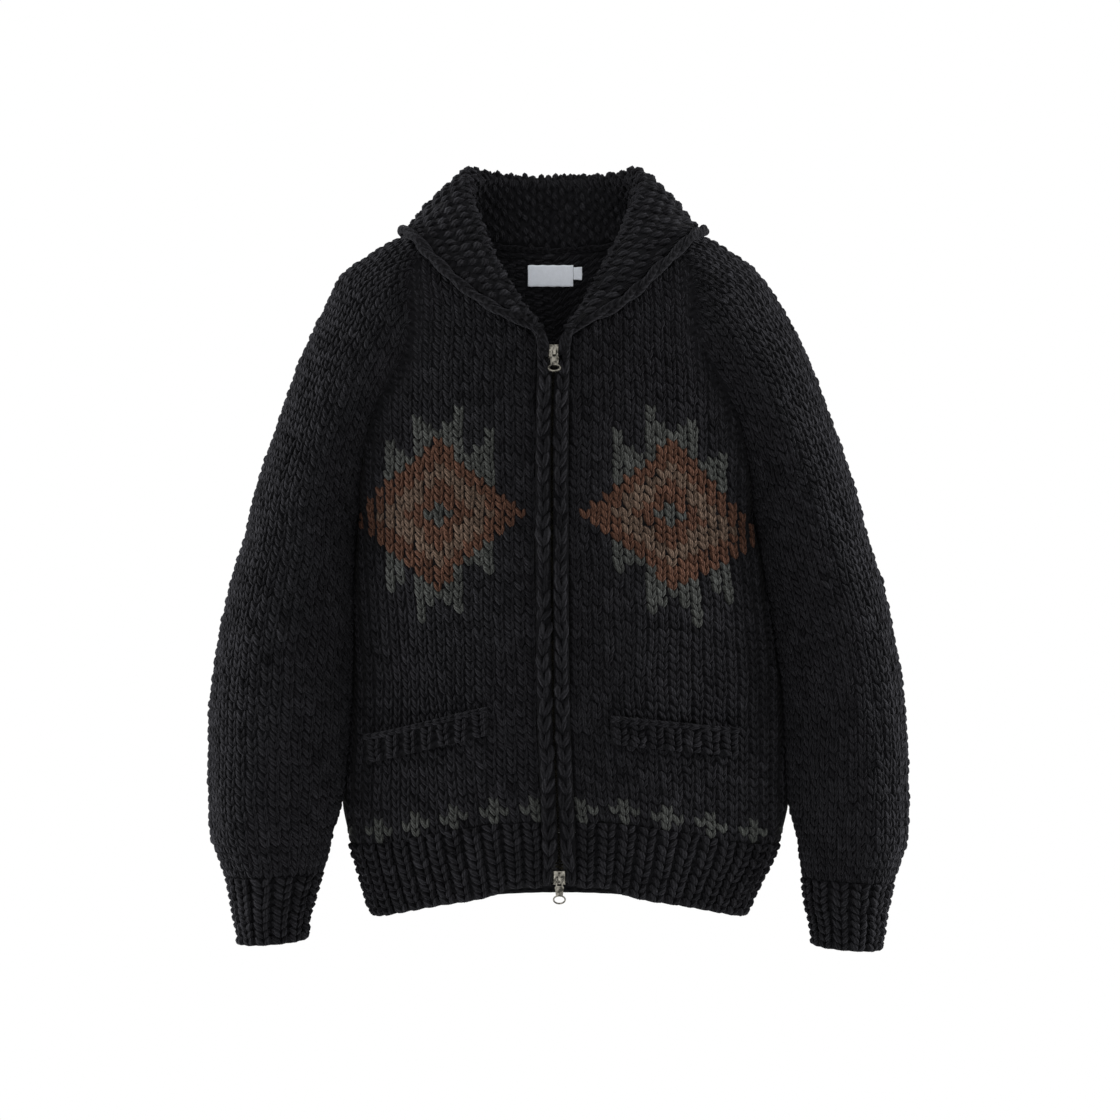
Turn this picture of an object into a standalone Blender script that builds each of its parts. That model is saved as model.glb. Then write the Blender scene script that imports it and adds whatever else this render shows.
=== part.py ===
"""Cowichan cardigan: a heavy hand-knit zip jacket, hollow, in the shape it has when it is worn.

Frame: +Z up, the front faces -Y, +X is the wearer's left. The origin lies on the wearer's
shoulders, midway between the two points where neck and shoulder meet.
Tables and sizes are in millimetres; MM turns them into Blender's metres.
"""
import math

import bmesh
import bpy
import numpy as np
from mathutils import Vector
from mathutils.bvhtree import BVHTree

MM = 0.001

# ---------------------------------------------------------------- driving dimensions
SEAM = 0.3                # gap between two pieces that are sewn together
WALL = 6.0                # knitted cloth of body and sleeves
COLLAR_WALL = 7.0         # garter-stitch cloth of the collar
RIB_WALL = 5.0            # cloth of the ribs, without the raised columns
RIB_RISE = 3.2            # how far a rib's knit column stands out
OVAL = 2.2                # exponent of the torso's oval sections
ARM_CLEAR = 1.8           # least air between a hanging sleeve and the torso
ARMPIT_ROOM = 45.0        # the sleeve is free of the torso from this far below its ridge's armpit

ZIP_TOP = -99.0           # upper end of the closed zip
CORD_INNER = 3.0          # edging cord beside the zip: from here ...
CORD_OUTER = 17.0         # ... to here, measured from the zip's middle
CORD_RISE = 3.0           # the cord stands this far in front of the cloth
CORD_SINK = 4.8           # its back lies this far behind the cloth's face
CORD_SHOULDER = 0.22      # share of its width over which its face rises ...
CORD_SHOULDER_RISE = 0.8  # ... to this share of its rise
SLIDER_ROOM = 8.0         # the cords part this far from the middle round a slider ...
SLIDER_ROOM_TAPER = 11.0  # ... and close again over this length
TAPE_INNER = 2.3
TAPE_OUTER = 16.0
TAPE_THICKNESS = 1.2
TAPE_DEPTH = 5.4          # tape's front face, behind the cloth's outer face

FRONT_COLUMNS = 12        # mesh columns of a front, one for each rib of its hem
BACK_COLUMNS = 26
SLEEVE_COLUMNS = 20
CUFF_RIBS = 12
RIB_PROFILE = (0.0, 0.86, 1.0, 0.86)     # rise of the four mesh columns of one rib
HEM_SINK = 1.0            # a rib's groove lies this far below the cloth above it: at the hem ...
CUFF_SINK = 1.2           # ... and at the cuffs

# ---------------------------------------------------------------- tables
# Torso, level by level. Above the armpit (z = -283) the raglan seam takes over from half_width.
TORSO_COLUMNS = ("z", "half_width", "front", "back", "edge_round")
TORSO = (
    (-700, 176.5, 84.0, 84.0, 0.4545),
    (-690, 184.5, 89.0, 88.0, 0.4545),
    (-680, 193.0, 93.0, 91.0, 0.4545),
    (-651, 204.5, 101.0, 97.0, 0.4545),
    (-622, 216.5, 107.0, 103.0, 0.4545),
    (-592, 224.5, 110.5, 107.0, 0.4545),
    (-563, 229.5, 112.5, 108.5, 0.4545),
    (-500, 226.0, 114.0, 108.0, 0.4545),
    (-400, 219.0, 115.5, 106.0, 0.4545),
    (-320, 210.5, 115.0, 107.0, 0.4545),
    (-283, 205.0, 113.5, 108.5, 0.4545),
    (-245, 205.0, 112.0, 110.0, 0.55),
    (-200, 205.0, 109.5, 110.0, 0.68),
    (-150, 205.0, 104.0, 107.0, 0.85),
    (-97, 205.0, 94.0, 100.0, 1.0),
    (-50, 205.0, 83.5, 89.0, 1.0),
    (0, 205.0, 62.0, 74.0, 1.0),
    (20, 205.0, 48.0, 68.0, 1.0),
)
SIDE_Y = -12.0            # the side seam lies this far forward of the middle

# Sideways set of the whole garment, level by level: it doesn't stand quite straight, and
# "turn" carries the sides of the body further over, between the zip and the sleeves' outsides.
LEAN_COLUMNS = ("z", "shift", "turn", "sway")
LEAN = ((-720, 1.5, 0.0, 0.0), (-676, 1.2, 0.0, 0.0), (-618, 0.7, 5.5, 0.0), (-549, 0.0, 7.5, -1.8),
        (-460, -1.3, 10.5, -4.0), (-402, -1.8, 8.0, -4.2), (-346, -2.3, 4.0, -4.0),
        (-250, -3.0, 0.0, -3.6), (-172, -3.6, 0.0, -2.6), (-100, -4.2, 0.0, -0.5),
        (-56, -5.7, 0.0, 0.0), (-27, -7.5, 0.0, 0.0), (17, -5.8, 0.0, 0.0), (95, -5.0, 0.0, 0.0))
TURN_MIDDLE = 220.0       # the turn is greatest this far from the zip ...
TURN_REACH = 140.0        # ... and gone this much further in or out
SWAY_REACH = 190.0        # the zip's own sway is gone this far from it

# Sleeve, station by station from the neck to the cuff. Each is an oval in a plane that holds
# the Y direction. "ridge" is its highest, outermost point, "tilt" the rise of the line from
# its inner side to the ridge, "across" half its size along that line. "sweep" is the angle
# that the cloth covers from the ridge to the raglan seam; 180 closes the tube.
SLEEVE_COLUMNS_NAMED = ("ridge_x", "ridge_z", "tilt", "across", "middle_y",
                        "front", "back", "sweep_front", "sweep_back")
SLEEVE = (
    (92.0, 37.0, 90.0, 29.1, 0.0, 41.4, 51.8, 75, 60),
    (124.0, 28.0, 77.0, 32.3, 0.0, 53.8, 61.0, 80, 70),
    (157.0, 16.0, 63.4, 41.7, 0.0, 66.0, 70.0, 88, 80),
    (190.0, -3.0, 46.2, 61.2, 0.0, 76.3, 78.0, 95, 90),
    (215.0, -22.0, 40.0, 74.6, -2.0, 79.8, 84.0, 102, 100),
    (233.0, -52.0, 35.0, 74.6, -3.0, 81.0, 87.0, 108, 107),
    (247.0, -78.0, 34.7, 70.0, -5.0, 80.5, 88.0, 114, 114),
    (261.0, -108.0, 33.0, 62.4, -6.0, 79.5, 88.0, 122, 121),
    (277.0, -152.0, 29.5, 57.2, -8.0, 77.0, 87.0, 135, 134),
    (294.0, -200.0, 25.6, 54.9, -10.0, 72.0, 84.0, 154, 154),
    (310.0, -249.0, 17.9, 55.2, -12.0, 68.0, 80.0, 180, 180),
    (320.0, -292.0, 15.0, 57.7, -15.0, 65.0, 72.0, 180, 180),
    (336.0, -346.0, 11.0, 63.2, -20.0, 62.0, 64.0, 180, 180),
    (347.5, -402.0, 7.9, 65.9, -25.0, 60.0, 58.0, 180, 180),
    (355.5, -461.0, 3.8, 67.2, -29.0, 58.0, 55.0, 180, 180),
    (358.0, -516.0, 1.7, 67.0, -32.0, 57.0, 53.0, 180, 180),
    (358.0, -562.0, 0.0, 64.5, -34.0, 55.0, 51.0, 180, 180),
    (357.0, -595.0, -1.5, 60.0, -36.0, 52.0, 48.0, 180, 180),
    (349.0, -622.0, -3.0, 53.8, -38.0, 46.0, 42.0, 180, 180),
    (341.0, -644.0, -3.5, 47.5, -38.5, 41.0, 37.0, 180, 180),
    (335.5, -668.0, -4.0, 42.3, -39.0, 38.0, 34.0, 180, 180),
    (331.8, -690.0, -4.0, 37.8, -39.0, 35.5, 32.0, 180, 180),
    (327.5, -713.0, -4.0, 34.0, -39.0, 33.0, 30.5, 180, 180),
)
ARMPIT_STATION = 10
CUFF_STATION = 19
LAST_STATION = 22
CUFF_SAG = 3.0            # the wearer's left cuff hangs this much lower, the right one higher

# A soft ridge runs down the front of each sleeve, where the outer side turns away.
RIDGE_COLUMNS = ("station", "angle", "height")
RIDGE = ((8, 50, 0.0), (11, 52, 2.5), (14, 55, 4.5), (17, 58, 5.0), (19, 60, 3.0), (22, 60, 1.0))
RIDGE_HALF_ANGLE = 20.0

# Front neckline: distance of its edge from the zip's middle.
NECKLINE_COLUMNS = ("z", "edge")
NECKLINE = ((-100, 17.3), (-97, 17.6), (-82, 33.0), (-60, 52.0), (-38, 66.5), (-15, 77.5),
            (2, 84.5), (20, 90.0))

# Lower edges, by distance from the zip's middle.
HEM_COLUMNS = ("x", "rib_top", "hem")
HEM = ((0, -579, -646), (45, -580, -647.5), (68, -582, -655.5), (87, -585, -660.5),
       (118, -590, -666), (141, -594, -671), (165, -600, -677), (190, -605, -683),
       (228, -609, -686))
BACK_HEM = -672.0         # the back's hem at its middle; it meets the front's at the sides
BACK_NECK = 12.0          # the back's neckline at its middle

# Collar, by share of the way along the neckline from the back's middle to the zip.
# roll: top of the fold. edge: outer edge with its cord. All on the wearer's left.
COLLAR_COLUMNS = ("share", "roll_x", "roll_y", "roll_z", "edge_x", "edge_y", "edge_z", "fold")
COLLAR = (
    (0.00, 0, 62, 85.5, 0, 98, -5, 7.5),
    (0.12, 39, 56, 86, 57, 91, -2, 7.5),
    (0.24, 70, 38, 87, 110, 70, 4, 7.5),
    (0.34, 83, 14, 87, 146, 34, 13, 7.5),
    (0.42, 86, -5, 81, 156, 4, 17, 7.5),
    (0.50, 87, -20, 64, 151, -29, 9, 7.5),
    (0.58, 80, -34, 41, 135, -52, -8, 7.2),
    (0.68, 70, -49, 14, 115, -70, -26, 6.6),
    (0.78, 56, -64, -16, 91, -86, -47, 6.0),
    (0.88, 38, -80, -49, 63, -98, -67, 5.9),
    (0.95, 24, -90, -71, 38, -104, -81, 5.7),
    (1.00, 11, -97, -84, 19, -106, -95, 5.4),
)
COLLAR_STATIONS = 17      # from the back's middle to the tip
# Where the collar's mesh columns lie: share of the stand, then share of the leaf.
STAND_SHARES = (0.0, 0.4, 0.75, 0.9, 1.0)
LEAF_SHARES = (0.07, 0.16, 0.32, 0.5, 0.68, 0.85, 1.0)
FOLD_ANGLES = (-85, -45, 0, 45, 85)
PATH_POINTS = 120
RISE_POINT = 20           # of the path's points, the one that shows which way the stand rises
LEAF_SWELL = 0.45         # how far the leaf's middle stands out, as a share of the fold
LEAF_AIR = 2.5            # between the leaf and the cloth that it lies on
NECK_SEAM = 0.9           # from the body's edge to the collar's
TIP_THINNER = 1.5         # the two tips are pressed this much flatter, on each side
CORD_RADIUS = 5.0
CORD_ROOM = 11.0          # length of the leaf's path that the edge cord takes
CORD_AIR = 0.7            # between the leaf's edge and the cord
CHEST_HEART = np.array([0.0, 0.0, -110.0])     # a point well inside the body, under the collar

# Pocket welts: top corners by distance from the zip's middle, inner and outer end.
WELT_COLUMNS = ("side", "inner", "inner_z", "outer", "outer_z")
WELTS = {
    "left": (1, 56.0, -472.0, 172.0, -486.0),
    "right": (-1, 66.0, -463.0, 200.0, -494.0),
}
WELT_HEIGHT = 29.0
WELT_RIBS = 7
WELT_WALL = 4.5
WELT_RISE = 2.8
WELT_STAND_OFF = 2.6      # the welt's top edge stands off the front, for the hand

# Zip hardware.
SLIDER_WIDTH = 12.6
SLIDER_LENGTH = 14.0
SLIDER_PLATE = 1.8
SLIDER_NECK = 3.0         # the post between the two plates
BRIDGE_WIDTH = 2.6
BRIDGE_HEIGHT = 4.2
BRIDGE_LENGTH = 10.0
BRIDGE_STRAP = 1.2
PLATE_AIR = 0.6           # between a plate and the tape
PULL_THICKNESS = 1.4
PULL_BAR = 1.4            # crossbar under the bridge, and the arms beside it
PULL_EYE_HALF = 2.2       # half the eye's width
PULL_EYE_LENGTH = 7.6     # from the joint's axis to the eye's far end
PULL_PLATE_HALF = 4.6
PULL_REACH = 26.0         # from the axis to the ring's far end
PULL_RING_HALF = 6.6
PULL_RING_HEIGHT = 4.7    # half the ring's height
PULL_RING_BAND = 1.5
PULL_TOP_TILT = 33.0      # degrees from upright: the upper pull lies on the cords

LABEL = {"x": -8.5, "z": -16.0, "width": 48.0, "height": 22.0}
SIZE_TAB = {"x": 20.3, "z": -13.5, "width": 9.0, "height": 13.0}
LABEL_THICKNESS = 0.8
LABEL_AIR = 0.5           # between a label and the cloth that it is sewn to

# name: base colour (linear), roughness, metallic
MATERIALS = {
    "wool_black": ((0.009, 0.009, 0.010), 0.95, 0.0),
    "zip_tape": ((0.006, 0.006, 0.007), 0.9, 0.0),
    "zip_metal": ((0.55, 0.53, 0.49), 0.32, 1.0),
    "label": ((0.62, 0.65, 0.70), 0.8, 0.0),
}


# ---------------------------------------------------------------- reading the tables
def smooth_curve(xs, ys):
    """A curve through the points that doesn't swing past them (monotone cubic)."""
    xs, ys = np.asarray(xs, float), np.asarray(ys, float)
    steps = np.diff(xs)
    slopes = np.diff(ys) / steps
    tangents = np.empty_like(ys)
    tangents[0], tangents[-1] = slopes[0], slopes[-1]
    before, after = slopes[:-1], slopes[1:]
    same_way = before * after > 0
    total = np.where(same_way, before + after, 1.0)
    tangents[1:-1] = np.where(same_way, 2 * before * after / total, 0.0)

    def read(x):
        x = np.clip(np.asarray(x, float), xs[0], xs[-1])
        i = np.clip(np.searchsorted(xs, x) - 1, 0, len(steps) - 1)
        s = (x - xs[i]) / steps[i]
        return ((1 + 2 * s) * (1 - s) ** 2 * ys[i] + s * (1 - s) ** 2 * steps[i] * tangents[i]
                + s * s * (3 - 2 * s) * ys[i + 1] + s * s * (s - 1) * steps[i] * tangents[i + 1])

    return read


def table_curves(columns, rows):
    """One curve for each column after the first, which is the one read along."""
    rows = np.asarray(rows, float)
    return {name: smooth_curve(rows[:, 0], rows[:, i])
            for i, name in enumerate(columns) if i > 0}


TORSO_AT = table_curves(TORSO_COLUMNS, TORSO)
LEAN_AT = table_curves(LEAN_COLUMNS, LEAN)
NECKLINE_AT = table_curves(NECKLINE_COLUMNS, NECKLINE)["edge"]
HEM_AT = table_curves(HEM_COLUMNS, HEM)
RIDGE_AT = table_curves(RIDGE_COLUMNS, RIDGE)
COLLAR_AT = table_curves(COLLAR_COLUMNS, COLLAR)
SLEEVE_AT = {name: smooth_curve(range(len(SLEEVE)), [row[i] for row in SLEEVE])
             for i, name in enumerate(SLEEVE_COLUMNS_NAMED)}


# ---------------------------------------------------------------- mesh helpers
def unit(vectors):
    length = np.linalg.norm(vectors, axis=-1, keepdims=True)
    return vectors / np.maximum(length, 1e-9)


def along(grid, shares):
    """Resample every row of a grid at these shares of its length."""
    rows = []
    for row in grid:
        lengths = np.concatenate(([0.0], np.cumsum(np.linalg.norm(np.diff(row, axis=0), axis=1))))
        spots = np.asarray(shares) * lengths[-1]
        rows.append(np.stack([np.interp(spots, lengths, row[:, k]) for k in range(3)], axis=1))
    return np.array(rows)


def grid_normals(grid, outward, closed_rows=None):
    """Unit normals of a grid of points; outward gives a rough outward direction for each."""
    across = np.gradient(grid, axis=1)
    if closed_rows is not None:
        wrapped = (grid[:, 1] - grid[:, -2]) / 2
        across[closed_rows, 0] = wrapped[closed_rows]
        across[closed_rows, -1] = wrapped[closed_rows]
    normals = unit(np.cross(across, np.gradient(grid, axis=0)))
    flip = np.sign(np.sum(normals * outward, axis=-1).mean())
    return normals * flip


def sideways(points):
    """How far the garment's lean and turn move these points along X."""
    points = np.asarray(points, float)
    reach = (np.abs(points[..., 0]) - TURN_MIDDLE) / TURN_REACH
    turn = np.clip(1.0 - reach ** 2, 0.0, 1.0) ** 2
    sway = np.clip(1.0 - (points[..., 0] / SWAY_REACH) ** 2, 0.0, 1.0) ** 2
    return (LEAN_AT["shift"](points[..., 2]) + LEAN_AT["turn"](points[..., 2]) * turn
            + LEAN_AT["sway"](points[..., 2]) * sway)


def from_axis(grid, centre_y=0.0):
    """Directions that point away from the garment's upright middle line."""
    return unit(grid * (1.0, 1.0, 0.0) - (0.0, centre_y, 0.0))


def finish_mesh(name, vertices, faces, material, sharp_angle=50.0):
    """One closed object from points in millimetres; the lean of the garment is added here."""
    points = np.array(vertices, float)
    points[:, 0] += sideways(points)
    mesh = bpy.data.meshes.new(name)
    mesh.from_pydata([tuple(p * MM) for p in points], [], faces)
    work = bmesh.new()
    work.from_mesh(mesh)
    bmesh.ops.recalc_face_normals(work, faces=work.faces)
    work.to_mesh(mesh)
    work.free()
    mesh.shade_smooth()
    mesh.set_sharp_from_angle(angle=math.radians(sharp_angle))
    mesh.materials.append(bpy.data.materials[material])
    item = bpy.data.objects.new(name, mesh)
    bpy.context.scene.collection.objects.link(item)
    return item


def wall(name, outer, inner, material, closed_rows=None, all_closed=False):
    """A wall of cloth between two grids of points.

    closed_rows: for a tube, which rows close on themselves (their last column is their first).
    all_closed: the rows have no repeated last column, and each closes on itself.
    """
    rows, columns = outer.shape[:2]
    if closed_rows is None:
        closed_rows = np.zeros(rows, bool)
    spare = columns if not all_closed else columns + 1

    def spot(layer, i, j):
        if all_closed:
            j = j % columns
        elif closed_rows[i] and j == columns - 1:
            j = 0
        return (layer * rows + i) * columns + j

    faces = []
    for i in range(rows - 1):
        for j in range(spare - 1):
            for layer in (0, 1):
                quad = [spot(layer, i, j), spot(layer, i, j + 1),
                        spot(layer, i + 1, j + 1), spot(layer, i + 1, j)]
                faces.append(quad if layer == 0 else quad[::-1])
    for i, flip in ((0, False), (rows - 1, True)):
        for j in range(spare - 1):
            quad = [spot(0, i, j), spot(1, i, j), spot(1, i, j + 1), spot(0, i, j + 1)]
            faces.append(quad[::-1] if flip else quad)
    if not all_closed:
        for i in range(rows - 1):
            if closed_rows[i] and closed_rows[i + 1]:
                continue
            for j in (0, columns - 1):
                upper_out, upper_in = spot(0, i, j), spot(1, i, j)
                lower_out, lower_in = spot(0, i + 1, j), spot(1, i + 1, j)
                faces.append([upper_out, lower_in, upper_in])
                faces.append([upper_out, lower_out, lower_in])
    vertices = np.concatenate((outer.reshape(-1, 3), inner.reshape(-1, 3)))
    used = sorted({k for face in faces for k in face})
    place = {old: new for new, old in enumerate(used)}
    faces = [[place[k] for k in face] for face in faces]
    return finish_mesh(name, vertices[used], faces, material)


def pull_back(grids, edge, gap):
    """Move one edge of a piece's grids into the piece by a share of a seam's gap."""
    for grid in grids:
        if edge == "left":
            grid[:, 0] += unit(grid[:, 1] - grid[:, 0]) * gap
        elif edge == "right":
            grid[:, -1] += unit(grid[:, -2] - grid[:, -1]) * gap
        elif edge == "top":
            grid[0] += unit(grid[1] - grid[0]) * gap
        else:
            grid[-1] += unit(grid[-2] - grid[-1]) * gap


def mirrored(grid, side):
    """The wearer's right side is the left one turned over in X."""
    return grid * (side, 1.0, 1.0)


# ---------------------------------------------------------------- torso
def torso_depth(x, z, edge, edge_depth, face):
    """How far the front or back face lies from the middle plane at (x, z)."""
    full = TORSO_AT[face](z)
    inside = np.clip(1.0 - np.abs(x / edge) ** OVAL, 0.0, 1.0)
    return edge_depth + (full - edge_depth) * inside ** TORSO_AT["edge_round"](z)


def torso_row(face, z, edge, edge_depth, start, shares):
    """Points of one level from `start` to the edge, spaced by length along the cloth."""
    first = math.asin(min(start / edge, 1.0))
    x = edge * np.sin(np.linspace(first, math.pi / 2, 160))
    side = -1.0 if face == "front" else 1.0
    y = side * torso_depth(x, z, edge, edge_depth, face)
    row = np.stack([x, y, np.full_like(x, z)], axis=1)
    return along(row[None], shares)[0]


def side_depth(face):
    """Depth of the side seam, as the front face or the back face counts it."""
    return -SIDE_Y if face == "front" else SIDE_Y


def front_depth(x, z):
    """Depth of the front's outer face below the yoke."""
    return torso_depth(x, z, TORSO_AT["half_width"](z), side_depth("front"), "front")


# ---------------------------------------------------------------- sleeve
def sleeve_row(station, shares, side):
    """Outer points of a sleeve section, from its front seam round the ridge to its back seam."""
    s = {name: float(curve(station)) for name, curve in SLEEVE_AT.items()}
    tilt = math.radians(s["tilt"])
    across = s["across"]
    toward_ridge = np.array([math.cos(tilt), 0.0, math.sin(tilt)])
    sag = -side * CUFF_SAG * min(max(station - ARMPIT_STATION, 0.0) / 10.0, 1.0)
    centre = np.array([s["ridge_x"], 0.0, s["ridge_z"] + sag]) - across * toward_ridge
    angles = np.radians(np.linspace(-s["sweep_front"], s["sweep_back"], 241))
    depth = np.where(angles < 0, s["front"], s["back"])
    swell = RIDGE_AT["height"](station) if station >= RIDGE[0][0] else 0.0
    distance = np.degrees(np.abs(angles + np.radians(RIDGE_AT["angle"](station))))
    bulge = 1.0 + swell / s["front"] * np.exp(-(distance / RIDGE_HALF_ANGLE) ** 2)
    out = np.outer(across * np.cos(angles) * bulge, toward_ridge)
    out[:, 1] += s["middle_y"] + depth * np.sin(angles) * bulge
    return along((centre + out)[None], shares)[0]


def clear_of_torso(points):
    """Push the inner side of a hanging sleeve out of the torso."""
    clear = points.copy()
    below = points[:, 2] < SLEEVE[ARMPIT_STATION][1] - ARMPIT_ROOM
    width = TORSO_AT["half_width"](points[:, 2])
    depth = np.where(points[:, 1] < SIDE_Y, TORSO_AT["front"](points[:, 2]) + SIDE_Y,
                     TORSO_AT["back"](points[:, 2]) - SIDE_Y)
    level = np.clip(1.0 - np.abs((points[:, 1] - SIDE_Y) / depth) ** OVAL, 0.0, 1.0)
    torso_x = width * level ** (1.0 / OVAL) + ARM_CLEAR
    clear[:, 0] = np.where(below, np.maximum(points[:, 0], torso_x), points[:, 0])
    return clear


CAP_STATIONS = np.array([0, 0.7, 1.4, 2.2, 3, 3.9, 5, 6, 7, 8, 9, ARMPIT_STATION])
ARM_STATIONS = np.array([10.6, 11.3, 12.2, 13.2, 14.2, 15.2, 16.1, 17, 17.8, 18.5, CUFF_STATION])
SLEEVE_SHARES = np.linspace(0.0, 1.0, SLEEVE_COLUMNS + 1)


def sleeve_grid(stations, side):
    """Outer grid of a sleeve's stations, on the wearer's left."""
    grid = np.array([sleeve_row(station, SLEEVE_SHARES, side) for station in stations])
    for i, station in enumerate(stations):
        if station > ARMPIT_STATION:
            grid[i] = clear_of_torso(grid[i])
        elif station == ARMPIT_STATION:
            grid[i, -1] = grid[i, 0]
    return grid


def raglan_seams():
    """Front and back raglan seams: the ends of the sleeve's open sections."""
    cap = sleeve_grid(CAP_STATIONS, 0)
    return cap[:, 0], cap[:, -1]


FRONT_RAGLAN, BACK_RAGLAN = raglan_seams()
ARMPIT_Z = FRONT_RAGLAN[-1, 2]


# ---------------------------------------------------------------- body panels
BODY_LEVELS = (-318.0, -355.0, -395.0, -435.0, -475.0, -515.0, -550.0)


def front_grid():
    """Outer grid of the wearer's left front, from the neck down to the top of the rib."""
    shares = np.linspace(0.0, 1.0, FRONT_COLUMNS + 1)
    rows = []
    for x, y, z in FRONT_RAGLAN:
        start = float(NECKLINE_AT(z)) if z > ZIP_TOP else CORD_OUTER + SEAM
        rows.append(torso_row("front", z, x, -y, start, shares))
    depth = side_depth("front")
    for z in BODY_LEVELS:
        width = float(TORSO_AT["half_width"](z))
        rows.append(torso_row("front", z, width, depth, CORD_OUTER + SEAM, shares))
    rows.append(rib_row("front", 0.0, shares))
    return np.array(rows)


def back_grid():
    """Outer grid of the whole back, from side to side."""
    half = np.linspace(0.0, 1.0, BACK_COLUMNS // 2 + 1)
    rows = []
    top = BACK_RAGLAN[0, 2] - BACK_NECK
    for i, (x, y, z) in enumerate(BACK_RAGLAN):
        row = torso_row("back", z, x, y, 0.0, half)
        dip = top * max(0.0, 1.0 - i / 5.0)
        row[:, 2] -= dip * (1.0 - (row[:, 0] / x) ** 2)
        rows.append(row)
    depth = side_depth("back")
    for z in BODY_LEVELS:
        width = float(TORSO_AT["half_width"](z))
        rows.append(torso_row("back", z, width, depth, 0.0, half))
    rows.append(rib_row("back", 0.0, half))
    right = np.array(rows)
    return np.concatenate((mirrored(right[:, :0:-1], -1), right), axis=1)


def rib_levels(face, x):
    """Levels of the rib's top and of the hem at these distances from the zip."""
    if face == "front":
        return HEM_AT["rib_top"](x), HEM_AT["hem"](x)
    _, side_top, side_hem = HEM[-1]
    dip = (BACK_HEM - side_hem) * (1.0 - (x / x.max()) ** 2)
    return np.full_like(x, side_top), side_hem + dip


def rib_row(face, share, shares):
    """A row of the hem rib: share 0 is its top, 1 the hem. Its level changes along it."""
    start = CORD_OUTER + SEAM if face == "front" else 0.0
    side = -1.0 if face == "front" else 1.0
    depth = side_depth(face)
    _, top, low = HEM[-1]
    level = top + (low - top) * share
    row = torso_row(face, level, float(TORSO_AT["half_width"](level)), depth, start, shares)
    for _ in range(3):
        top, low = rib_levels(face, row[:, 0])
        z = top + (low - top) * share
        edge = TORSO_AT["half_width"](z)
        x = np.clip(row[:, 0] / row[-1, 0], 0.0, 1.0) * edge[-1]
        y = side * torso_depth(np.minimum(x, edge), z, edge, depth, face)
        row = along(np.stack([x, y, z], axis=1)[None], shares)[0]
        row[0, 0] = start
    return row


def soften_pair(own, other):
    """Seam normals: shared where two pieces run on smoothly, their own where they fold."""
    level = np.sum(own * other, axis=-1, keepdims=True)
    share = np.clip((level + 0.1) / 0.6, 0.0, 1.0)
    return unit(own * (1.0 - share) + unit(own + other) * share)


def square_off(normal, rows=None, columns=None):
    """Where two pieces meet edge to edge, both walls run square to the seam."""
    if rows is not None:
        normal[rows] = unit(normal[rows] * (1.0, 1.0, 0.0))
    if columns is not None:
        normal[columns] = unit(normal[columns] * (1.0, 0.0, 1.0))


CLOTH = {}                # outer and inner grids of the body's pieces, for what is laid on them


def build_body_and_sleeves():
    """Fronts, back and sleeves, whose seams share their points."""
    front, back = front_grid(), back_grid()
    front_normal = grid_normals(front, from_axis(front))
    front_normal[0] = front_normal[1]
    back_normal = grid_normals(back, from_axis(back))
    cap_rows = len(CAP_STATIONS)
    side_rows = slice(cap_rows - 1, None)
    square_off(front_normal, rows=-1, columns=(side_rows, -1))
    square_off(back_normal, rows=-1, columns=(side_rows, -1))
    square_off(back_normal, columns=(side_rows, 0))
    for side, hand in ((1, "left"), (-1, "right")):
        stations = np.concatenate((CAP_STATIONS, ARM_STATIONS))
        sleeve = sleeve_grid(stations, side)
        sleeve[:cap_rows, 0] = FRONT_RAGLAN
        sleeve[:cap_rows, -1] = BACK_RAGLAN
        closed = stations >= ARMPIT_STATION
        centres = sleeve.mean(axis=1, keepdims=True)
        normal = grid_normals(sleeve, unit(sleeve - centres), closed)
        own_front, own_back = front_normal.copy(), back_normal.copy()
        seam = slice(0, cap_rows - 1)
        front_edge, back_edge = front_normal[seam, -1], back_normal[seam, -1]
        sleeve_front, sleeve_back = normal[seam, 0].copy(), normal[seam, -1].copy()
        own_front[seam, -1] = soften_pair(front_edge, sleeve_front)
        own_back[seam, -1] = soften_pair(back_edge, sleeve_back)
        normal[seam, 0] = soften_pair(sleeve_front, front_edge)
        normal[seam, -1] = soften_pair(sleeve_back, back_edge)
        inner = sleeve - normal * WALL
        grids = [sleeve.copy(), inner]
        open_rows = slice(0, cap_rows)
        for edge in ("left", "right"):
            part = [grid[open_rows] for grid in grids]
            pull_back(part, edge, SEAM / 2)
        grids[0][cap_rows - 1, -1] = grids[0][cap_rows - 1, 0]
        pull_back(grids, "bottom", SEAM / 2)
        CLOTH["sleeve_" + hand] = [mirrored(grid, side) for grid in grids]
        wall("sleeve_" + hand, *CLOTH["sleeve_" + hand], "wool_black", closed_rows=closed)

        grids = [front.copy(), front - own_front * WALL]
        pull_back(grids, "right", SEAM / 2)
        pull_back(grids, "bottom", SEAM / 2)
        CLOTH["front_" + hand] = [mirrored(grid, side) for grid in grids]
        wall("front_" + hand, *CLOTH["front_" + hand], "wool_black")
        if side == 1:
            both = own_back.copy()
            both[:, 0] = both[:, -1] * (-1.0, 1.0, 1.0)
    grids = [back.copy(), back - both * WALL]
    pull_back(grids, "left", SEAM / 2)
    pull_back(grids, "right", SEAM / 2)
    pull_back(grids, "bottom", SEAM / 2)
    CLOTH["back"] = grids
    wall("back", *grids, "wool_black")


# ---------------------------------------------------------------- ribs
def rib_rise(ribs, columns):
    """Rise of each mesh column of a rib, from its purl groove over its knit column."""
    return np.array([RIB_PROFILE[j % len(RIB_PROFILE)] for j in range(columns)]) * RIB_RISE


def ribbed_wall(name, base, normal, rise, thickness, material, edges, all_closed=False):
    """Ribs raised in a wall's outer points over a plain inside."""
    grids = [base + normal * rise[None, :, None], base - normal * thickness]
    for edge in edges:
        pull_back(grids, edge, SEAM / 2)
    return wall(name, grids[0], grids[1], material, all_closed=all_closed)


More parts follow.
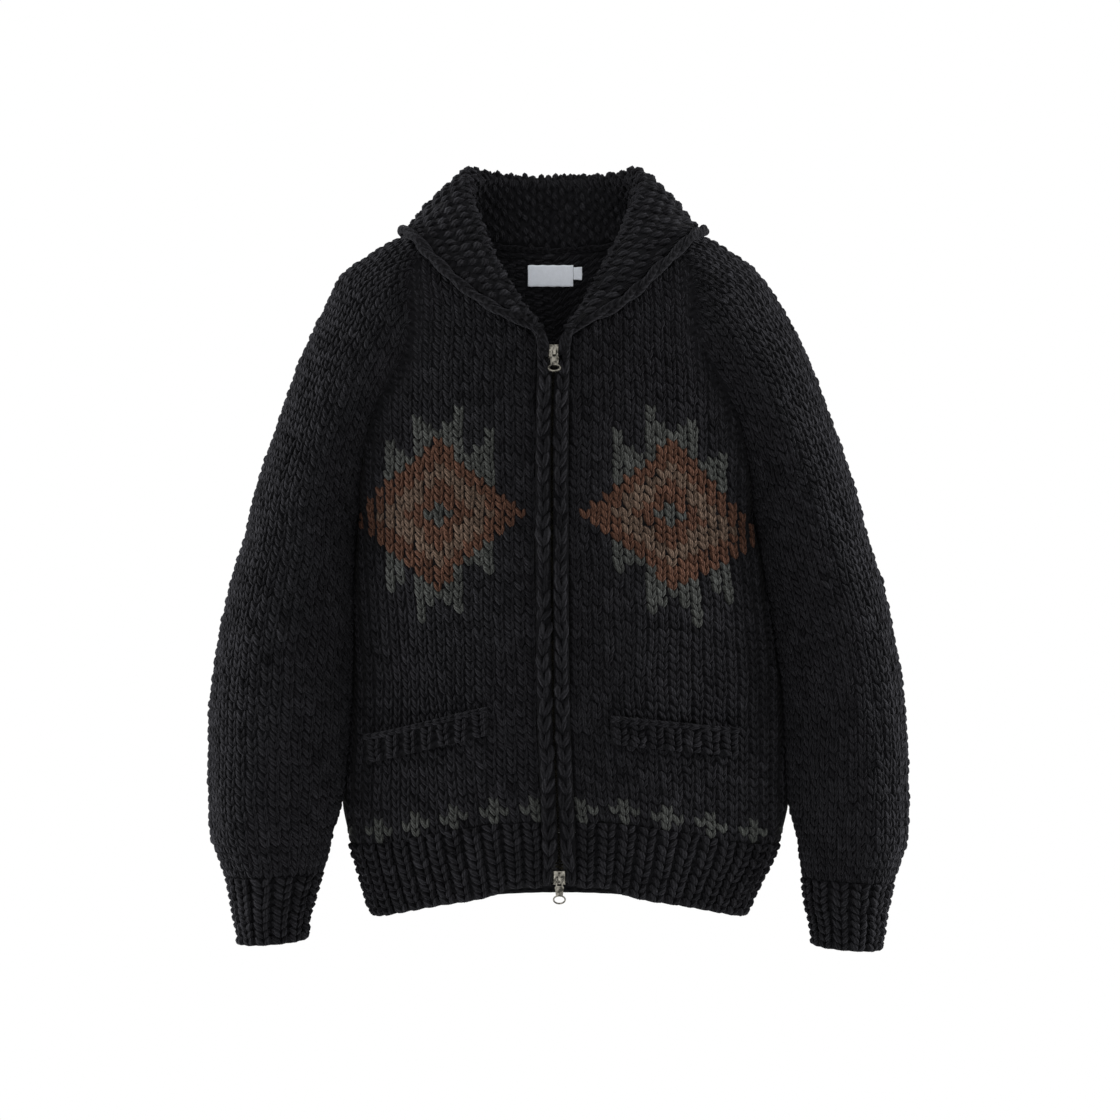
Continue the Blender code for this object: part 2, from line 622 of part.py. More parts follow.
def build_hem():
    """The ribbed hem: two fronts and the back."""
    steps = (0.0, 0.5, 1.0)
    sink = HEM_SINK
    points = len(RIB_PROFILE)
    shares = np.linspace(0.0, 1.0, FRONT_COLUMNS * points + 1)
    front = np.array([rib_row("front", step, shares) for step in steps])
    normal = grid_normals(front, from_axis(front))
    square_off(normal, rows=0, columns=(slice(None), -1))
    rise = rib_rise(FRONT_COLUMNS, front.shape[1])
    for side, hand in ((1, "left"), (-1, "right")):
        flip = np.array((side, 1.0, 1.0))
        ribbed_wall("hem_rib_" + hand, (front - normal * sink) * flip, normal * flip, rise,
                    RIB_WALL - sink, "wool_black", ("right", "top"))
    half = np.linspace(0.0, 1.0, BACK_COLUMNS * points // 2 + 1)
    back = np.array([rib_row("back", step, half) for step in steps])
    back = np.concatenate((mirrored(back[:, :0:-1], -1), back), axis=1)
    normal = grid_normals(back, from_axis(back))
    square_off(normal, rows=0, columns=(slice(None), -1))
    square_off(normal, columns=(slice(None), 0))
    rise = rib_rise(BACK_COLUMNS, back.shape[1])
    ribbed_wall("hem_rib_back", back - normal * sink, normal, rise, RIB_WALL - sink,
                "wool_black", ("left", "right", "top"))


def build_cuffs():
    """The ribbed cuffs, gathered a little under the sleeves."""
    count = CUFF_RIBS * len(RIB_PROFILE)
    shares = np.linspace(0.0, 1.0, count + 1)
    sink = CUFF_SINK
    for side, hand in ((1, "left"), (-1, "right")):
        rows = [sleeve_row(station, shares, side) for station in (CUFF_STATION, 20.5, LAST_STATION)]
        grid = np.array(rows)
        grid[0, :, 2] -= SEAM
        closed = np.ones(len(rows), bool)
        normal = grid_normals(grid, unit(grid - grid.mean(axis=1, keepdims=True)), closed)
        base = (grid - normal * sink)[:, :-1]
        flip = np.array((side, 1.0, 1.0))
        ribbed_wall("cuff_" + hand, base * flip, normal[:, :-1] * flip, rib_rise(CUFF_RIBS, count),
                    RIB_WALL - sink, "wool_black", ("top",), all_closed=True)


# ---------------------------------------------------------------- collar
def neckline_path():
    """The cloth's upper edge from the back's middle over the shoulder to the zip.

    Gives points on the middle of its thickness, and the directions in which the cloth ends there.
    """
    front, back, sleeve = (sum(CLOTH[name]) / 2 for name in ("front_left", "back", "sleeve_left"))
    count = int(np.sum(front[:len(CAP_STATIONS), 0, 2] > ZIP_TOP))
    half = slice(BACK_COLUMNS // 2, -1)
    end = ZIP_TOP + 2.0
    last = np.array([float(NECKLINE_AT(end)), WALL / 2 - float(TORSO_AT["front"](end)), end])
    points = np.concatenate((back[0, half], sleeve[0, ::-1], front[:count, 0], [last]))
    ends = np.concatenate((back[0, half] - back[1, half], (sleeve[0] - sleeve[1])[::-1],
                           front[:count, 0] - front[:count, 1]))
    ends = np.concatenate((ends, ends[-1:]))
    forward = unit(np.gradient(points, axis=0))
    ends = ends - np.sum(ends * forward, axis=1, keepdims=True) * forward
    return points, unit(ends)


def collar_path(share, root):
    """Middle line of the collar's cloth at one station, from the neck seam to the outer edge."""
    def fold_line(spot):
        return np.array([float(COLLAR_AT[name](spot)) for name in ("roll_x", "roll_y", "roll_z")])

    step = 0.01
    roll = fold_line(share)
    forward = unit(fold_line(min(share + step, 1.0)) - fold_line(max(share - step, 0.0)))
    edge = np.array([float(COLLAR_AT[name](share)) for name in ("edge_x", "edge_y", "edge_z")])
    fold = float(COLLAR_AT["fold"](share))
    inward = (root + edge) / 2 - roll
    inward = unit(inward - np.dot(inward, forward) * forward)
    out = np.cross(forward, inward)
    out = out * np.sign(np.dot(out, roll - CHEST_HEART))
    arc = [roll + fold * (inward * (1.0 - math.cos(a)) + out * math.sin(a))
           for a in np.radians(FOLD_ANGLES)]
    stand_middle = (root + arc[0]) / 2
    leaf_middle = (arc[-1] + edge) / 2 + (out - inward) * fold * LEAF_SWELL
    knots = np.array([root, stand_middle, *arc, leaf_middle, edge])
    gaps = np.sqrt(np.linalg.norm(np.diff(knots, axis=0), axis=1))
    spots = np.concatenate(([0.0], np.cumsum(gaps)))
    fine = np.linspace(0.0, spots[-1], PATH_POINTS)
    curve = np.stack([spline(spots, knots[:, k], fine) for k in range(3)], axis=1)
    return curve, spots[2 + FOLD_ANGLES.index(0)] / spots[-1]


def spline(xs, ys, at):
    """Catmull-Rom curve through uneven knots."""
    tangents = np.gradient(ys, xs)
    i = np.clip(np.searchsorted(xs, at) - 1, 0, len(xs) - 2)
    step = xs[i + 1] - xs[i]
    s = (at - xs[i]) / step
    return ((1 + 2 * s) * (1 - s) ** 2 * ys[i] + s * (1 - s) ** 2 * step * tangents[i]
            + s * s * (3 - 2 * s) * ys[i + 1] + s * s * (s - 1) * step * tangents[i + 1])


def body_surface():
    """The outer faces of body and sleeves, to lay the collar on."""
    vertices, faces = [], []
    for outer, _ in CLOTH.values():
        rows, columns = outer.shape[:2]
        first = len(vertices)
        vertices += [Vector(point) for point in outer.reshape(-1, 3)]
        faces += [[first + i * columns + j, first + i * columns + j + 1,
                   first + (i + 1) * columns + j + 1, first + (i + 1) * columns + j]
                  for i in range(rows - 1) for j in range(columns - 1)]
    return BVHTree.FromPolygons(vertices, faces)


def lift_off(points, surface, distance):
    """Move points out until they stand this far off the cloth below them."""
    lifted = np.array(points, float)
    for point in lifted:
        for _ in range(6):
            near, normal, _, gap = surface.find_nearest(Vector(point))
            away = np.array(normal)
            away *= np.sign(np.dot(away, point - CHEST_HEART))
            height = float(np.dot(point - np.array(near), away))
            beyond_edge = abs(height) < 0.8 * gap
            depth = gap if beyond_edge or height > 0 else -gap
            if depth >= distance:
                break
            point += away * (distance - depth)
    return lifted


def build_collar():
    """Shawl collar: a stand from the neck seam, a round fold, and a leaf that lies outside."""
    neck, neck_ends = neckline_path()
    lengths = np.concatenate(([0.0], np.cumsum(np.linalg.norm(np.diff(neck, axis=0), axis=1))))
    forward = unit(np.gradient(neck, axis=0))
    surface = body_surface()
    shares = np.linspace(0.0, 1.0, COLLAR_STATIONS)
    roots, ends, forward = (
        np.stack([np.interp(shares * lengths[-1], lengths, table[:, k]) for k in range(3)], axis=1)
        for table in (neck, neck_ends, forward))
    rises = [collar_path(share, root)[0][RISE_POINT] - root for share, root in zip(shares, roots)]
    lean = np.abs(np.sum(unit(np.cross(forward, rises)) * ends, axis=1))
    lean = np.maximum(lean, np.maximum(np.append(lean[1:], 0.0), np.append(0.0, lean[:-1])))
    roots = roots + ends * (NECK_SEAM + COLLAR_WALL / 2 * lean[:, None])
    rows = []
    for share, root in zip(shares, roots):
        curve, fold_at = collar_path(share, root)
        steps = np.linalg.norm(np.diff(curve, axis=0), axis=1)
        run = np.concatenate(([0.0], np.cumsum(steps)))
        at_fold = np.interp(fold_at * (len(curve) - 1), np.arange(len(curve)), run)
        leaf = run[-1] - at_fold
        room = min(CORD_ROOM, 0.5 * leaf)
        spots = [s * at_fold for s in STAND_SHARES]
        spots += [at_fold + s * (leaf - room) for s in LEAF_SHARES]
        points = np.stack([np.interp(spots, run, curve[:, k]) for k in range(3)], axis=1)
        leaf_first = len(STAND_SHARES) + 1
        points[leaf_first:] = lift_off(points[leaf_first:], surface, COLLAR_WALL / 2 + LEAF_AIR)
        rows.append(points)
    half = np.array(rows)
    grid = np.concatenate((mirrored(half[:0:-1], -1), half))
    outer_way = np.zeros_like(grid)
    outer_way[..., 2] = 1.0
    normal = grid_normals(grid, outer_way)
    facing = np.sign(np.sum(normal[:, -3:] * from_axis(grid)[:, -3:], axis=-1).mean())
    normal = normal * facing
    thickness = np.full(len(grid), COLLAR_WALL / 2)
    thickness[[0, -1]] -= TIP_THINNER
    thickness[[1, -2]] -= TIP_THINNER / 2
    offset = normal * thickness[:, None, None]
    wall("collar", grid + offset, grid - offset, "wool_black")

    rim = grid[:, -1]
    forward = unit(np.gradient(rim, axis=0))
    onward = rim - grid[:, -2]
    onward = unit(onward - np.sum(onward * forward, axis=1, keepdims=True) * forward)
    reach = CORD_RADIUS + CORD_AIR
    line = rim + onward * reach
    for _ in range(4):
        line = lift_off(line, surface, CORD_RADIUS + LEAF_AIR)
        short = reach - np.sum((line - rim) * onward, axis=1, keepdims=True)
        line = line + onward * np.maximum(short, 0.0)
    tube("collar_cord", line, CORD_RADIUS, 7, "wool_black")


def tube(name, line, radius, sides, material):
    """A round cord along a line of points."""
    forward = unit(np.gradient(line, axis=0))
    up = np.array([0.0, 0.0, 1.0])
    aside = unit(np.cross(forward, up))
    lift = np.cross(aside, forward)
    angles = np.linspace(0.0, 2 * math.pi, sides, endpoint=False)
    rings = (line[:, None] + radius * (np.cos(angles)[None, :, None] * aside[:, None]
                                       + np.sin(angles)[None, :, None] * lift[:, None]))
    count = len(line)
    vertices = rings.reshape(-1, 3)
    faces = [[i * sides + j, i * sides + (j + 1) % sides,
              (i + 1) * sides + (j + 1) % sides, (i + 1) * sides + j]
             for i in range(count - 1) for j in range(sides)]
    faces.append(list(range(sides)))
    faces.append([(count - 1) * sides + j for j in reversed(range(sides))])
    return finish_mesh(name, vertices, faces, material, sharp_angle=80.0)


# ---------------------------------------------------------------- zip
def cord_inner_edge(z):
    """The edging's inner edge, which gives way round the two sliders."""
    edge = CORD_INNER
    for middle in (SLIDER_TOP_Z, SLIDER_BOTTOM_Z):
        beyond = max(0.0, abs(z - middle) - SLIDER_LENGTH / 2 - 2.0)
        near = 1.0 - beyond / SLIDER_ROOM_TAPER
        edge = max(edge, CORD_INNER + (SLIDER_ROOM - CORD_INNER) * near)
    return edge


SLIDER_TOP_Z = ZIP_TOP - 7.5
SLIDER_BOTTOM_Z = -636.5
EDGING_LEVELS = (-101, -115.5, -121, -126.5, -150, -180, -210, -245, -283, *BODY_LEVELS,
                 -579, -600, -616.5, -622, -627.5, -645.5)


def build_edging():
    """Knitted cords down both fronts, one on each side of the zip."""
    for side, hand in ((1, "left"), (-1, "right")):
        outline = []
        for z in EDGING_LEVELS:
            inner, outer = cord_inner_edge(z), CORD_OUTER
            width = outer - inner
            face = -float(TORSO_AT["front"](z))
            middle = (inner + outer) / 2
            outline.append([
                (inner, face + CORD_SINK, z),
                (inner, face, z),
                (inner + CORD_SHOULDER * width, face - CORD_RISE * CORD_SHOULDER_RISE, z),
                (middle, face - CORD_RISE, z),
                (outer - CORD_SHOULDER * width, face - CORD_RISE * CORD_SHOULDER_RISE, z),
                (outer, face, z),
                (outer, face + CORD_SINK, z),
            ])
        ring(outline, "edging_" + hand, side, "wool_black")


def ring(outline, name, side, material):
    """A long solid from its cross-sections."""
    sections = mirrored(np.array(outline, float), side)
    count, sides = sections.shape[:2]
    faces = [[i * sides + j, i * sides + (j + 1) % sides,
              (i + 1) * sides + (j + 1) % sides, (i + 1) * sides + j]
             for i in range(count - 1) for j in range(sides)]
    faces.append(list(range(sides)))
    faces.append([(count - 1) * sides + j for j in reversed(range(sides))])
    return finish_mesh(name, sections.reshape(-1, 3), faces, material)


def build_zip_tapes():
    """The woven tapes, sewn behind the edging."""
    for side, hand in ((1, "left"), (-1, "right")):
        outline = []
        for z in EDGING_LEVELS:
            face = -float(TORSO_AT["front"](z)) + TAPE_DEPTH
            outline.append([(TAPE_INNER, face, z), (TAPE_OUTER, face, z),
                            (TAPE_OUTER, face + TAPE_THICKNESS, z),
                            (TAPE_INNER, face + TAPE_THICKNESS, z)])
        ring(outline, "zip_tape_" + hand, side, "zip_tape")


def extruded(name, outline, holes, shift, thickness, axis):
    """A flat metal shape with holes, extruded by its thickness along an axis."""
    work = bmesh.new()
    edges = []
    for loop in [outline] + holes:
        made = [work.verts.new(point) for point in loop]
        edges += [work.edges.new((made[i], made[(i + 1) % len(made)])) for i in range(len(made))]
    bmesh.ops.triangle_fill(work, use_beauty=True, edges=edges)
    grown = bmesh.ops.extrude_face_region(work, geom=list(work.faces))
    moved = [item for item in grown["geom"] if isinstance(item, bmesh.types.BMVert)]
    bmesh.ops.translate(work, verts=moved, vec=Vector(axis) * thickness)
    bmesh.ops.translate(work, verts=work.verts, vec=Vector(shift))
    bmesh.ops.scale(work, verts=work.verts, vec=(MM, MM, MM))
    bmesh.ops.recalc_face_normals(work, faces=work.faces)
    mesh = bpy.data.meshes.new(name)
    work.to_mesh(mesh)
    work.free()
    mesh.materials.append(bpy.data.materials["zip_metal"])
    item = bpy.data.objects.new(name, mesh)
    bpy.context.scene.collection.objects.link(item)
    return item


def slider_frame(centre_z):
    """Where a slider sits on the zip: a point on the cloth's face, and the face's slope."""
    reach = SLIDER_LENGTH / 2
    upper, lower = (float(TORSO_AT["front"](centre_z + way * reach)) for way in (1, -1))
    slope = math.atan2(lower - upper, 2 * reach)
    place = Vector((float(LEAN_AT["shift"](centre_z)), -(upper + lower) / 2, centre_z))
    return place, slope


def build_slider(name, centre_z):
    """Two plates joined by a neck that runs between the tapes, with a bridge for the pull."""
    tape_front, tape_back = TAPE_DEPTH, TAPE_DEPTH + TAPE_THICKNESS
    front = tape_front - PLATE_AIR - SLIDER_PLATE
    back = tape_back + PLATE_AIR + SLIDER_PLATE
    wide, narrow = SLIDER_WIDTH / 2, SLIDER_NECK / 2
    right = [(wide - 0.8, front), (wide, front + 0.5), (wide, tape_front - PLATE_AIR),
             (narrow, tape_front - PLATE_AIR), (narrow, tape_back + PLATE_AIR),
             (wide - 0.6, tape_back + PLATE_AIR), (wide - 0.6, back)]
    outline = [(x, y, 0.0) for x, y in right] + [(-x, y, 0.0) for x, y in reversed(right)]
    body = extruded(name, outline, [], (0, 0, -SLIDER_LENGTH / 2), SLIDER_LENGTH, (0, 0, 1))
    half, strap, top = BRIDGE_LENGTH / 2, BRIDGE_STRAP, front - BRIDGE_HEIGHT
    foot = front + 0.5
    upper = [(foot, half), (top + 1.0, half), (top, half - 1.0)]
    under = [(foot, half - strap), (top + strap + 0.3, half - strap),
             (top + strap, half - strap - 0.3)]
    arch = upper + [(y, -z) for y, z in reversed(upper)]
    arch += [(y, -z) for y, z in under] + list(reversed(under))
    bridge = extruded(name + "_bridge", [(0.0, y, z) for y, z in arch], [],
                      (-BRIDGE_WIDTH / 2, 0, 0), BRIDGE_WIDTH, (1, 0, 0))
    union = body.modifiers.new("bridge", "BOOLEAN")
    union.operation = "UNION"
    union.object = bridge
    bridge.hide_render = True
    bridge.display_type = "WIRE"
    place, slope = slider_frame(centre_z)
    for item in (body, bridge):
        item.location = place * MM
        item.rotation_euler = (-slope, 0.0, 0.0)
    return front


def build_pull(name, centre_z, tilt):
    """A pull that hangs from the bridge by its crossbar: two arms, a plate and a ring."""
    eye, bar, arm = PULL_EYE_HALF, PULL_BAR, PULL_EYE_HALF + PULL_BAR
    plate = PULL_PLATE_HALF
    ring_middle = -(PULL_REACH - PULL_RING_HEIGHT)
    open_angle = math.radians(58)
    sweep = np.linspace(open_angle, -math.pi - open_angle, 15)
    outline = [(-arm, 0, bar / 2), (arm, 0, bar / 2), (arm, 0, -PULL_EYE_LENGTH),
               (plate, 0, -PULL_EYE_LENGTH - 1.5)]
    outline += [(PULL_RING_HALF * math.cos(a), 0,
                 ring_middle + PULL_RING_HEIGHT * math.sin(a)) for a in sweep]
    outline += [(-plate, 0, -PULL_EYE_LENGTH - 1.5), (-arm, 0, -PULL_EYE_LENGTH)]
    eye_hole = [(-eye, 0, -bar / 2), (eye, 0, -bar / 2), (eye, 0, -PULL_EYE_LENGTH),
                (-eye, 0, -PULL_EYE_LENGTH)]
    inner_half = PULL_RING_HALF - PULL_RING_BAND
    inner_height = PULL_RING_HEIGHT - PULL_RING_BAND
    ring_hole = [(inner_half * math.cos(a), 0, ring_middle + inner_height * math.sin(a))
                 for a in np.linspace(0, 2 * math.pi, 16, endpoint=False)]
    pull = extruded(name, outline, [eye_hole, ring_hole], (0, -PULL_THICKNESS / 2, 0),
                    PULL_THICKNESS, (0, 1, 0))
    place, slope = slider_frame(centre_z)
    depth = TAPE_DEPTH - PLATE_AIR - SLIDER_PLATE - (BRIDGE_HEIGHT - BRIDGE_STRAP) / 2
    pull.location = (place + Vector((0.0, depth * math.cos(slope), -depth * math.sin(slope)))) * MM
    pull.rotation_euler = (-math.radians(tilt), 0.0, 0.0)
    return pull


def build_zip():
    build_edging()
    build_zip_tapes()
    for name, z, tilt in (("top", SLIDER_TOP_Z, PULL_TOP_TILT), ("bottom", SLIDER_BOTTOM_Z, 0.0)):
        build_slider("slider_" + name, z)
        build_pull("pull_" + name, z, tilt)


# ---------------------------------------------------------------- pockets and labels
def front_surface(x, z):
    """A point on the front's outer face and its normal, on the wearer's left."""
    y = -front_depth(x, z)
    step = 0.5
    slope_x = (-front_depth(x + step, z) - y) / step
    slope_z = (-front_depth(x, z + step) - y) / step
    normal = unit(np.stack([slope_x, -np.ones_like(y), slope_z], axis=-1))
    return np.stack([x, y, z], axis=-1), normal


def build_pocket_welts():
    """Ribbed welts on the fronts: made from the front's points, moved out."""
    levels = np.array([0.0, 0.16, 0.3, 1.0])      # share of the height, from the top
    swell = np.array([1.0, 1.1, 0.6, 1.0])        # a bound-off edge, a groove, the ribs
    for hand, values in WELTS.items():
        spec = dict(zip(WELT_COLUMNS, values))
        columns = WELT_RIBS * len(RIB_PROFILE)
        u = np.linspace(0.0, 1.0, columns + 1)
        x = spec["inner"] + (spec["outer"] - spec["inner"]) * u
        top = spec["inner_z"] + (spec["outer_z"] - spec["inner_z"]) * u
        x_grid = np.repeat(x[None], len(levels), axis=0)
        z_grid = top[None] - WELT_HEIGHT * levels[:, None]
        points, normals = front_surface(x_grid, z_grid)
        lift = SEAM + 0.5 + WELT_STAND_OFF * (1.0 - levels) ** 2
        rib = np.array([RIB_PROFILE[j % len(RIB_PROFILE)] for j in range(columns + 1)])
        rise = swell[:, None] * rib[None] * WELT_RISE
        rise[:2] = (swell[:2, None] * WELT_RISE) * (0.75 + 0.25 * rib[None])
        inner = points + normals * lift[:, None, None]
        outer = points + normals * (lift[:, None] + WELT_WALL + rise - 1.0)[..., None]
        side = spec["side"]
        wall("pocket_welt_" + hand, mirrored(outer, side), mirrored(inner, side), "wool_black")


def build_label(name, spec):
    """A woven label, sewn inside the back below the neck."""
    columns, rows = 8, 2
    x = spec["x"] + spec["width"] * (np.linspace(0.0, 1.0, columns + 1) - 0.5)
    z = spec["z"] + spec["height"] * (0.5 - np.linspace(0.0, 1.0, rows + 1))
    inside = inner_back_surface()
    grid = np.empty((rows + 1, columns + 1, 3))
    for i, level in enumerate(z):
        for j, place in enumerate(x):
            start = Vector((place * MM, -0.02, level * MM))
            hit, _, _, _ = inside.ray_cast(start, Vector((0.0, 1.0, 0.0)))
            grid[i, j] = (place, hit.y / MM, level)
    near = grid - (0.0, LABEL_AIR + LABEL_THICKNESS, 0.0)
    far = grid - (0.0, LABEL_AIR, 0.0)
    for layer in (near, far):
        layer[..., 0] -= LEAN_AT["shift"](layer[..., 2])
    wall(name, near, far, "label")


def inner_back_surface():
    mesh = bpy.data.objects["back"].data
    return BVHTree.FromPolygons([v.co for v in mesh.vertices],
                                [list(p.vertices) for p in mesh.polygons])


# ---------------------------------------------------------------- the whole garment
def clear_scene():
    for item in list(bpy.data.objects):
        bpy.data.objects.remove(item, do_unlink=True)


def make_materials():
    for name, (colour, roughness, metallic) in MATERIALS.items():
        material = bpy.data.materials.new(name)
        material.use_nodes = True
        shader = material.node_tree.nodes["Principled BSDF"]
        shader.inputs["Base Color"].default_value = (*colour, 1.0)
        shader.inputs["Roughness"].default_value = roughness
        shader.inputs["Metallic"].default_value = metallic
        material.diffuse_color = (*colour, 1.0)


def main():
    clear_scene()
    make_materials()
    build_body_and_sleeves()
    build_hem()
    build_cuffs()
    build_collar()
    build_zip()
    build_pocket_welts()
    build_label("neck_label", LABEL)
    build_label("size_label", SIZE_TAB)


main()
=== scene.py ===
"""Looks of the hand-knit cowichan cardigan: its yarn, its zip and its labels.

Frame and sizes are the part's: +Z up, the front faces -Y, +X is the wearer's left, the origin lies
on the wearer's shoulders. Tables and sizes are in millimetres; MM turns them into metres.
Each piece of cloth is a thin shell on its solid's form, with its stitches laid on it.
"""

import math

import bpy
import numpy as np
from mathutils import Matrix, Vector
from mathutils.bvhtree import BVHTree


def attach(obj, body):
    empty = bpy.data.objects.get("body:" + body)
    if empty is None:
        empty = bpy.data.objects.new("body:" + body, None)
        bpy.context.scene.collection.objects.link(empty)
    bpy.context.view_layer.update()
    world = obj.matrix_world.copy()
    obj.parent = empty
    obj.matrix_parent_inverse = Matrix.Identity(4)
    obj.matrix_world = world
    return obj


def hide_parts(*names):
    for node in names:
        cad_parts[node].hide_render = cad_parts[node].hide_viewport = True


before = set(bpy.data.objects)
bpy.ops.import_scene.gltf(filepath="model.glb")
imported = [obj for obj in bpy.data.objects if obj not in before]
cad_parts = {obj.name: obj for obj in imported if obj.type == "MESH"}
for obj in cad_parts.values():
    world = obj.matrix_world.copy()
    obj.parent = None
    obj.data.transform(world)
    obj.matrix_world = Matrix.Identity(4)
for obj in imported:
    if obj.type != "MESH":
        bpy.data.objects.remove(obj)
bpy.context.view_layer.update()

MM = 0.001
HANDS = ((1, "left"), (-1, "right"))       # side in X, and the wearer's hand

# ---------------------------------------------------------------- driving dimensions
SEAM = 0.3                # gap between two pieces that are sewn together
WALL = 6.0                # knitted cloth of body and sleeves
COLLAR_WALL = 7.0         # garter-stitch cloth of the collar
OVAL = 2.2                # exponent of the torso's oval sections
ARM_CLEAR = 1.8           # least air between a hanging sleeve and the torso
ARMPIT_ROOM = 45.0        # the sleeve is free of the torso from this far below its ridge's armpit

ZIP_TOP = -99.0           # upper end of the closed zip
CORD_INNER = 3.0          # edging cord beside the zip: from here ...
CORD_OUTER = 17.0         # ... to here, measured from the zip's middle
CORD_RISE = 3.0           # the cord stands this far in front of the cloth
SLIDER_ROOM = 8.0         # the cords part this far from the middle round a slider ...
SLIDER_ROOM_TAPER = 11.0  # ... and close again over this length
TAPE_INNER = 2.3
TAPE_OUTER = 16.0
TAPE_THICKNESS = 1.2
TAPE_DEPTH = 5.4          # tape's front face, behind the cloth's outer face

FRONT_COLUMNS = 12        # mesh columns of a front, one for each rib of its hem
BACK_COLUMNS = 26
SLEEVE_COLUMNS = 20
CUFF_RIBS = 12

# ---------------------------------------------------------------- tables
# Torso, level by level. Above the armpit (z = -283) the raglan seam takes over from half_width.
TORSO_COLUMNS = ("z", "half_width", "front", "back", "edge_round")
TORSO = (
    (-700, 176.5, 84.0, 84.0, 0.4545),
    (-690, 184.5, 89.0, 88.0, 0.4545),
    (-680, 193.0, 93.0, 91.0, 0.4545),
    (-651, 204.5, 101.0, 97.0, 0.4545),
    (-622, 216.5, 107.0, 103.0, 0.4545),
    (-592, 224.5, 110.5, 107.0, 0.4545),
    (-563, 229.5, 112.5, 108.5, 0.4545),
    (-500, 226.0, 114.0, 108.0, 0.4545),
    (-400, 219.0, 115.5, 106.0, 0.4545),
    (-320, 210.5, 115.0, 107.0, 0.4545),
    (-283, 205.0, 113.5, 108.5, 0.4545),
    (-245, 205.0, 112.0, 110.0, 0.55),
    (-200, 205.0, 109.5, 110.0, 0.68),
    (-150, 205.0, 104.0, 107.0, 0.85),
    (-97, 205.0, 94.0, 100.0, 1.0),
    (-50, 205.0, 83.5, 89.0, 1.0),
    (0, 205.0, 62.0, 74.0, 1.0),
    (20, 205.0, 48.0, 68.0, 1.0),
)
SIDE_Y = -12.0            # the side seam lies this far forward of the middle
LEVEL_POINTS = 160        # points of a level of the torso, before it is read by length

# Sideways set of the whole garment, level by level: it doesn't stand quite straight, and
# "turn" carries the sides of the body further over, between the zip and the sleeves' outsides.
LEAN_COLUMNS = ("z", "shift", "turn", "sway")
LEAN = ((-720, 1.5, 0.0, 0.0), (-676, 1.2, 0.0, 0.0), (-618, 0.7, 5.5, 0.0), (-549, 0.0, 7.5, -1.8),
        (-460, -1.3, 10.5, -4.0), (-402, -1.8, 8.0, -4.2), (-346, -2.3, 4.0, -4.0),
        (-250, -3.0, 0.0, -3.6), (-172, -3.6, 0.0, -2.6), (-100, -4.2, 0.0, -0.5),
        (-56, -5.7, 0.0, 0.0), (-27, -7.5, 0.0, 0.0), (17, -5.8, 0.0, 0.0), (95, -5.0, 0.0, 0.0))
TURN_MIDDLE = 220.0       # the turn is greatest this far from the zip ...
TURN_REACH = 140.0        # ... and gone this much further in or out
SWAY_REACH = 190.0        # the zip's own sway is gone this far from it

# Sleeve, station by station from the neck to the cuff. Each is an oval in a plane that holds
# the Y direction. "ridge" is its highest, outermost point, "tilt" the rise of the line from
# its inner side to the ridge, "across" half its size along that line. "sweep" is the angle
# that the cloth covers from the ridge to the raglan seam; 180 closes the tube.
SLEEVE_COLUMNS_NAMED = ("ridge_x", "ridge_z", "tilt", "across", "middle_y",
                        "front", "back", "sweep_front", "sweep_back")
SLEEVE = (
    (92.0, 37.0, 90.0, 29.1, 0.0, 41.4, 51.8, 75, 60),
    (124.0, 28.0, 77.0, 32.3, 0.0, 53.8, 61.0, 80, 70),
    (157.0, 16.0, 63.4, 41.7, 0.0, 66.0, 70.0, 88, 80),
    (190.0, -3.0, 46.2, 61.2, 0.0, 76.3, 78.0, 95, 90),
    (215.0, -22.0, 40.0, 74.6, -2.0, 79.8, 84.0, 102, 100),
    (233.0, -52.0, 35.0, 74.6, -3.0, 81.0, 87.0, 108, 107),
    (247.0, -78.0, 34.7, 70.0, -5.0, 80.5, 88.0, 114, 114),
    (261.0, -108.0, 33.0, 62.4, -6.0, 79.5, 88.0, 122, 121),
    (277.0, -152.0, 29.5, 57.2, -8.0, 77.0, 87.0, 135, 134),
    (294.0, -200.0, 25.6, 54.9, -10.0, 72.0, 84.0, 154, 154),
    (310.0, -249.0, 17.9, 55.2, -12.0, 68.0, 80.0, 180, 180),
    (320.0, -292.0, 15.0, 57.7, -15.0, 65.0, 72.0, 180, 180),
    (336.0, -346.0, 11.0, 63.2, -20.0, 62.0, 64.0, 180, 180),
    (347.5, -402.0, 7.9, 65.9, -25.0, 60.0, 58.0, 180, 180),
    (355.5, -461.0, 3.8, 67.2, -29.0, 58.0, 55.0, 180, 180),
    (358.0, -516.0, 1.7, 67.0, -32.0, 57.0, 53.0, 180, 180),
    (358.0, -562.0, 0.0, 64.5, -34.0, 55.0, 51.0, 180, 180),
    (357.0, -595.0, -1.5, 60.0, -36.0, 52.0, 48.0, 180, 180),
    (349.0, -622.0, -3.0, 53.8, -38.0, 46.0, 42.0, 180, 180),
    (341.0, -644.0, -3.5, 47.5, -38.5, 41.0, 37.0, 180, 180),
    (335.5, -668.0, -4.0, 42.3, -39.0, 38.0, 34.0, 180, 180),
    (331.8, -690.0, -4.0, 37.8, -39.0, 35.5, 32.0, 180, 180),
    (327.5, -713.0, -4.0, 34.0, -39.0, 33.0, 30.5, 180, 180),
)
ARMPIT_STATION = 10
CUFF_STATION = 19
LAST_STATION = 22
CUFF_SAG = 3.0            # the wearer's left cuff hangs this much lower, the right one higher ...
SAG_STATIONS = 10.0       # ... coming on over this many stations below the armpit
SECTION_POINTS = 241      # points of a sleeve's section, before it is read by length

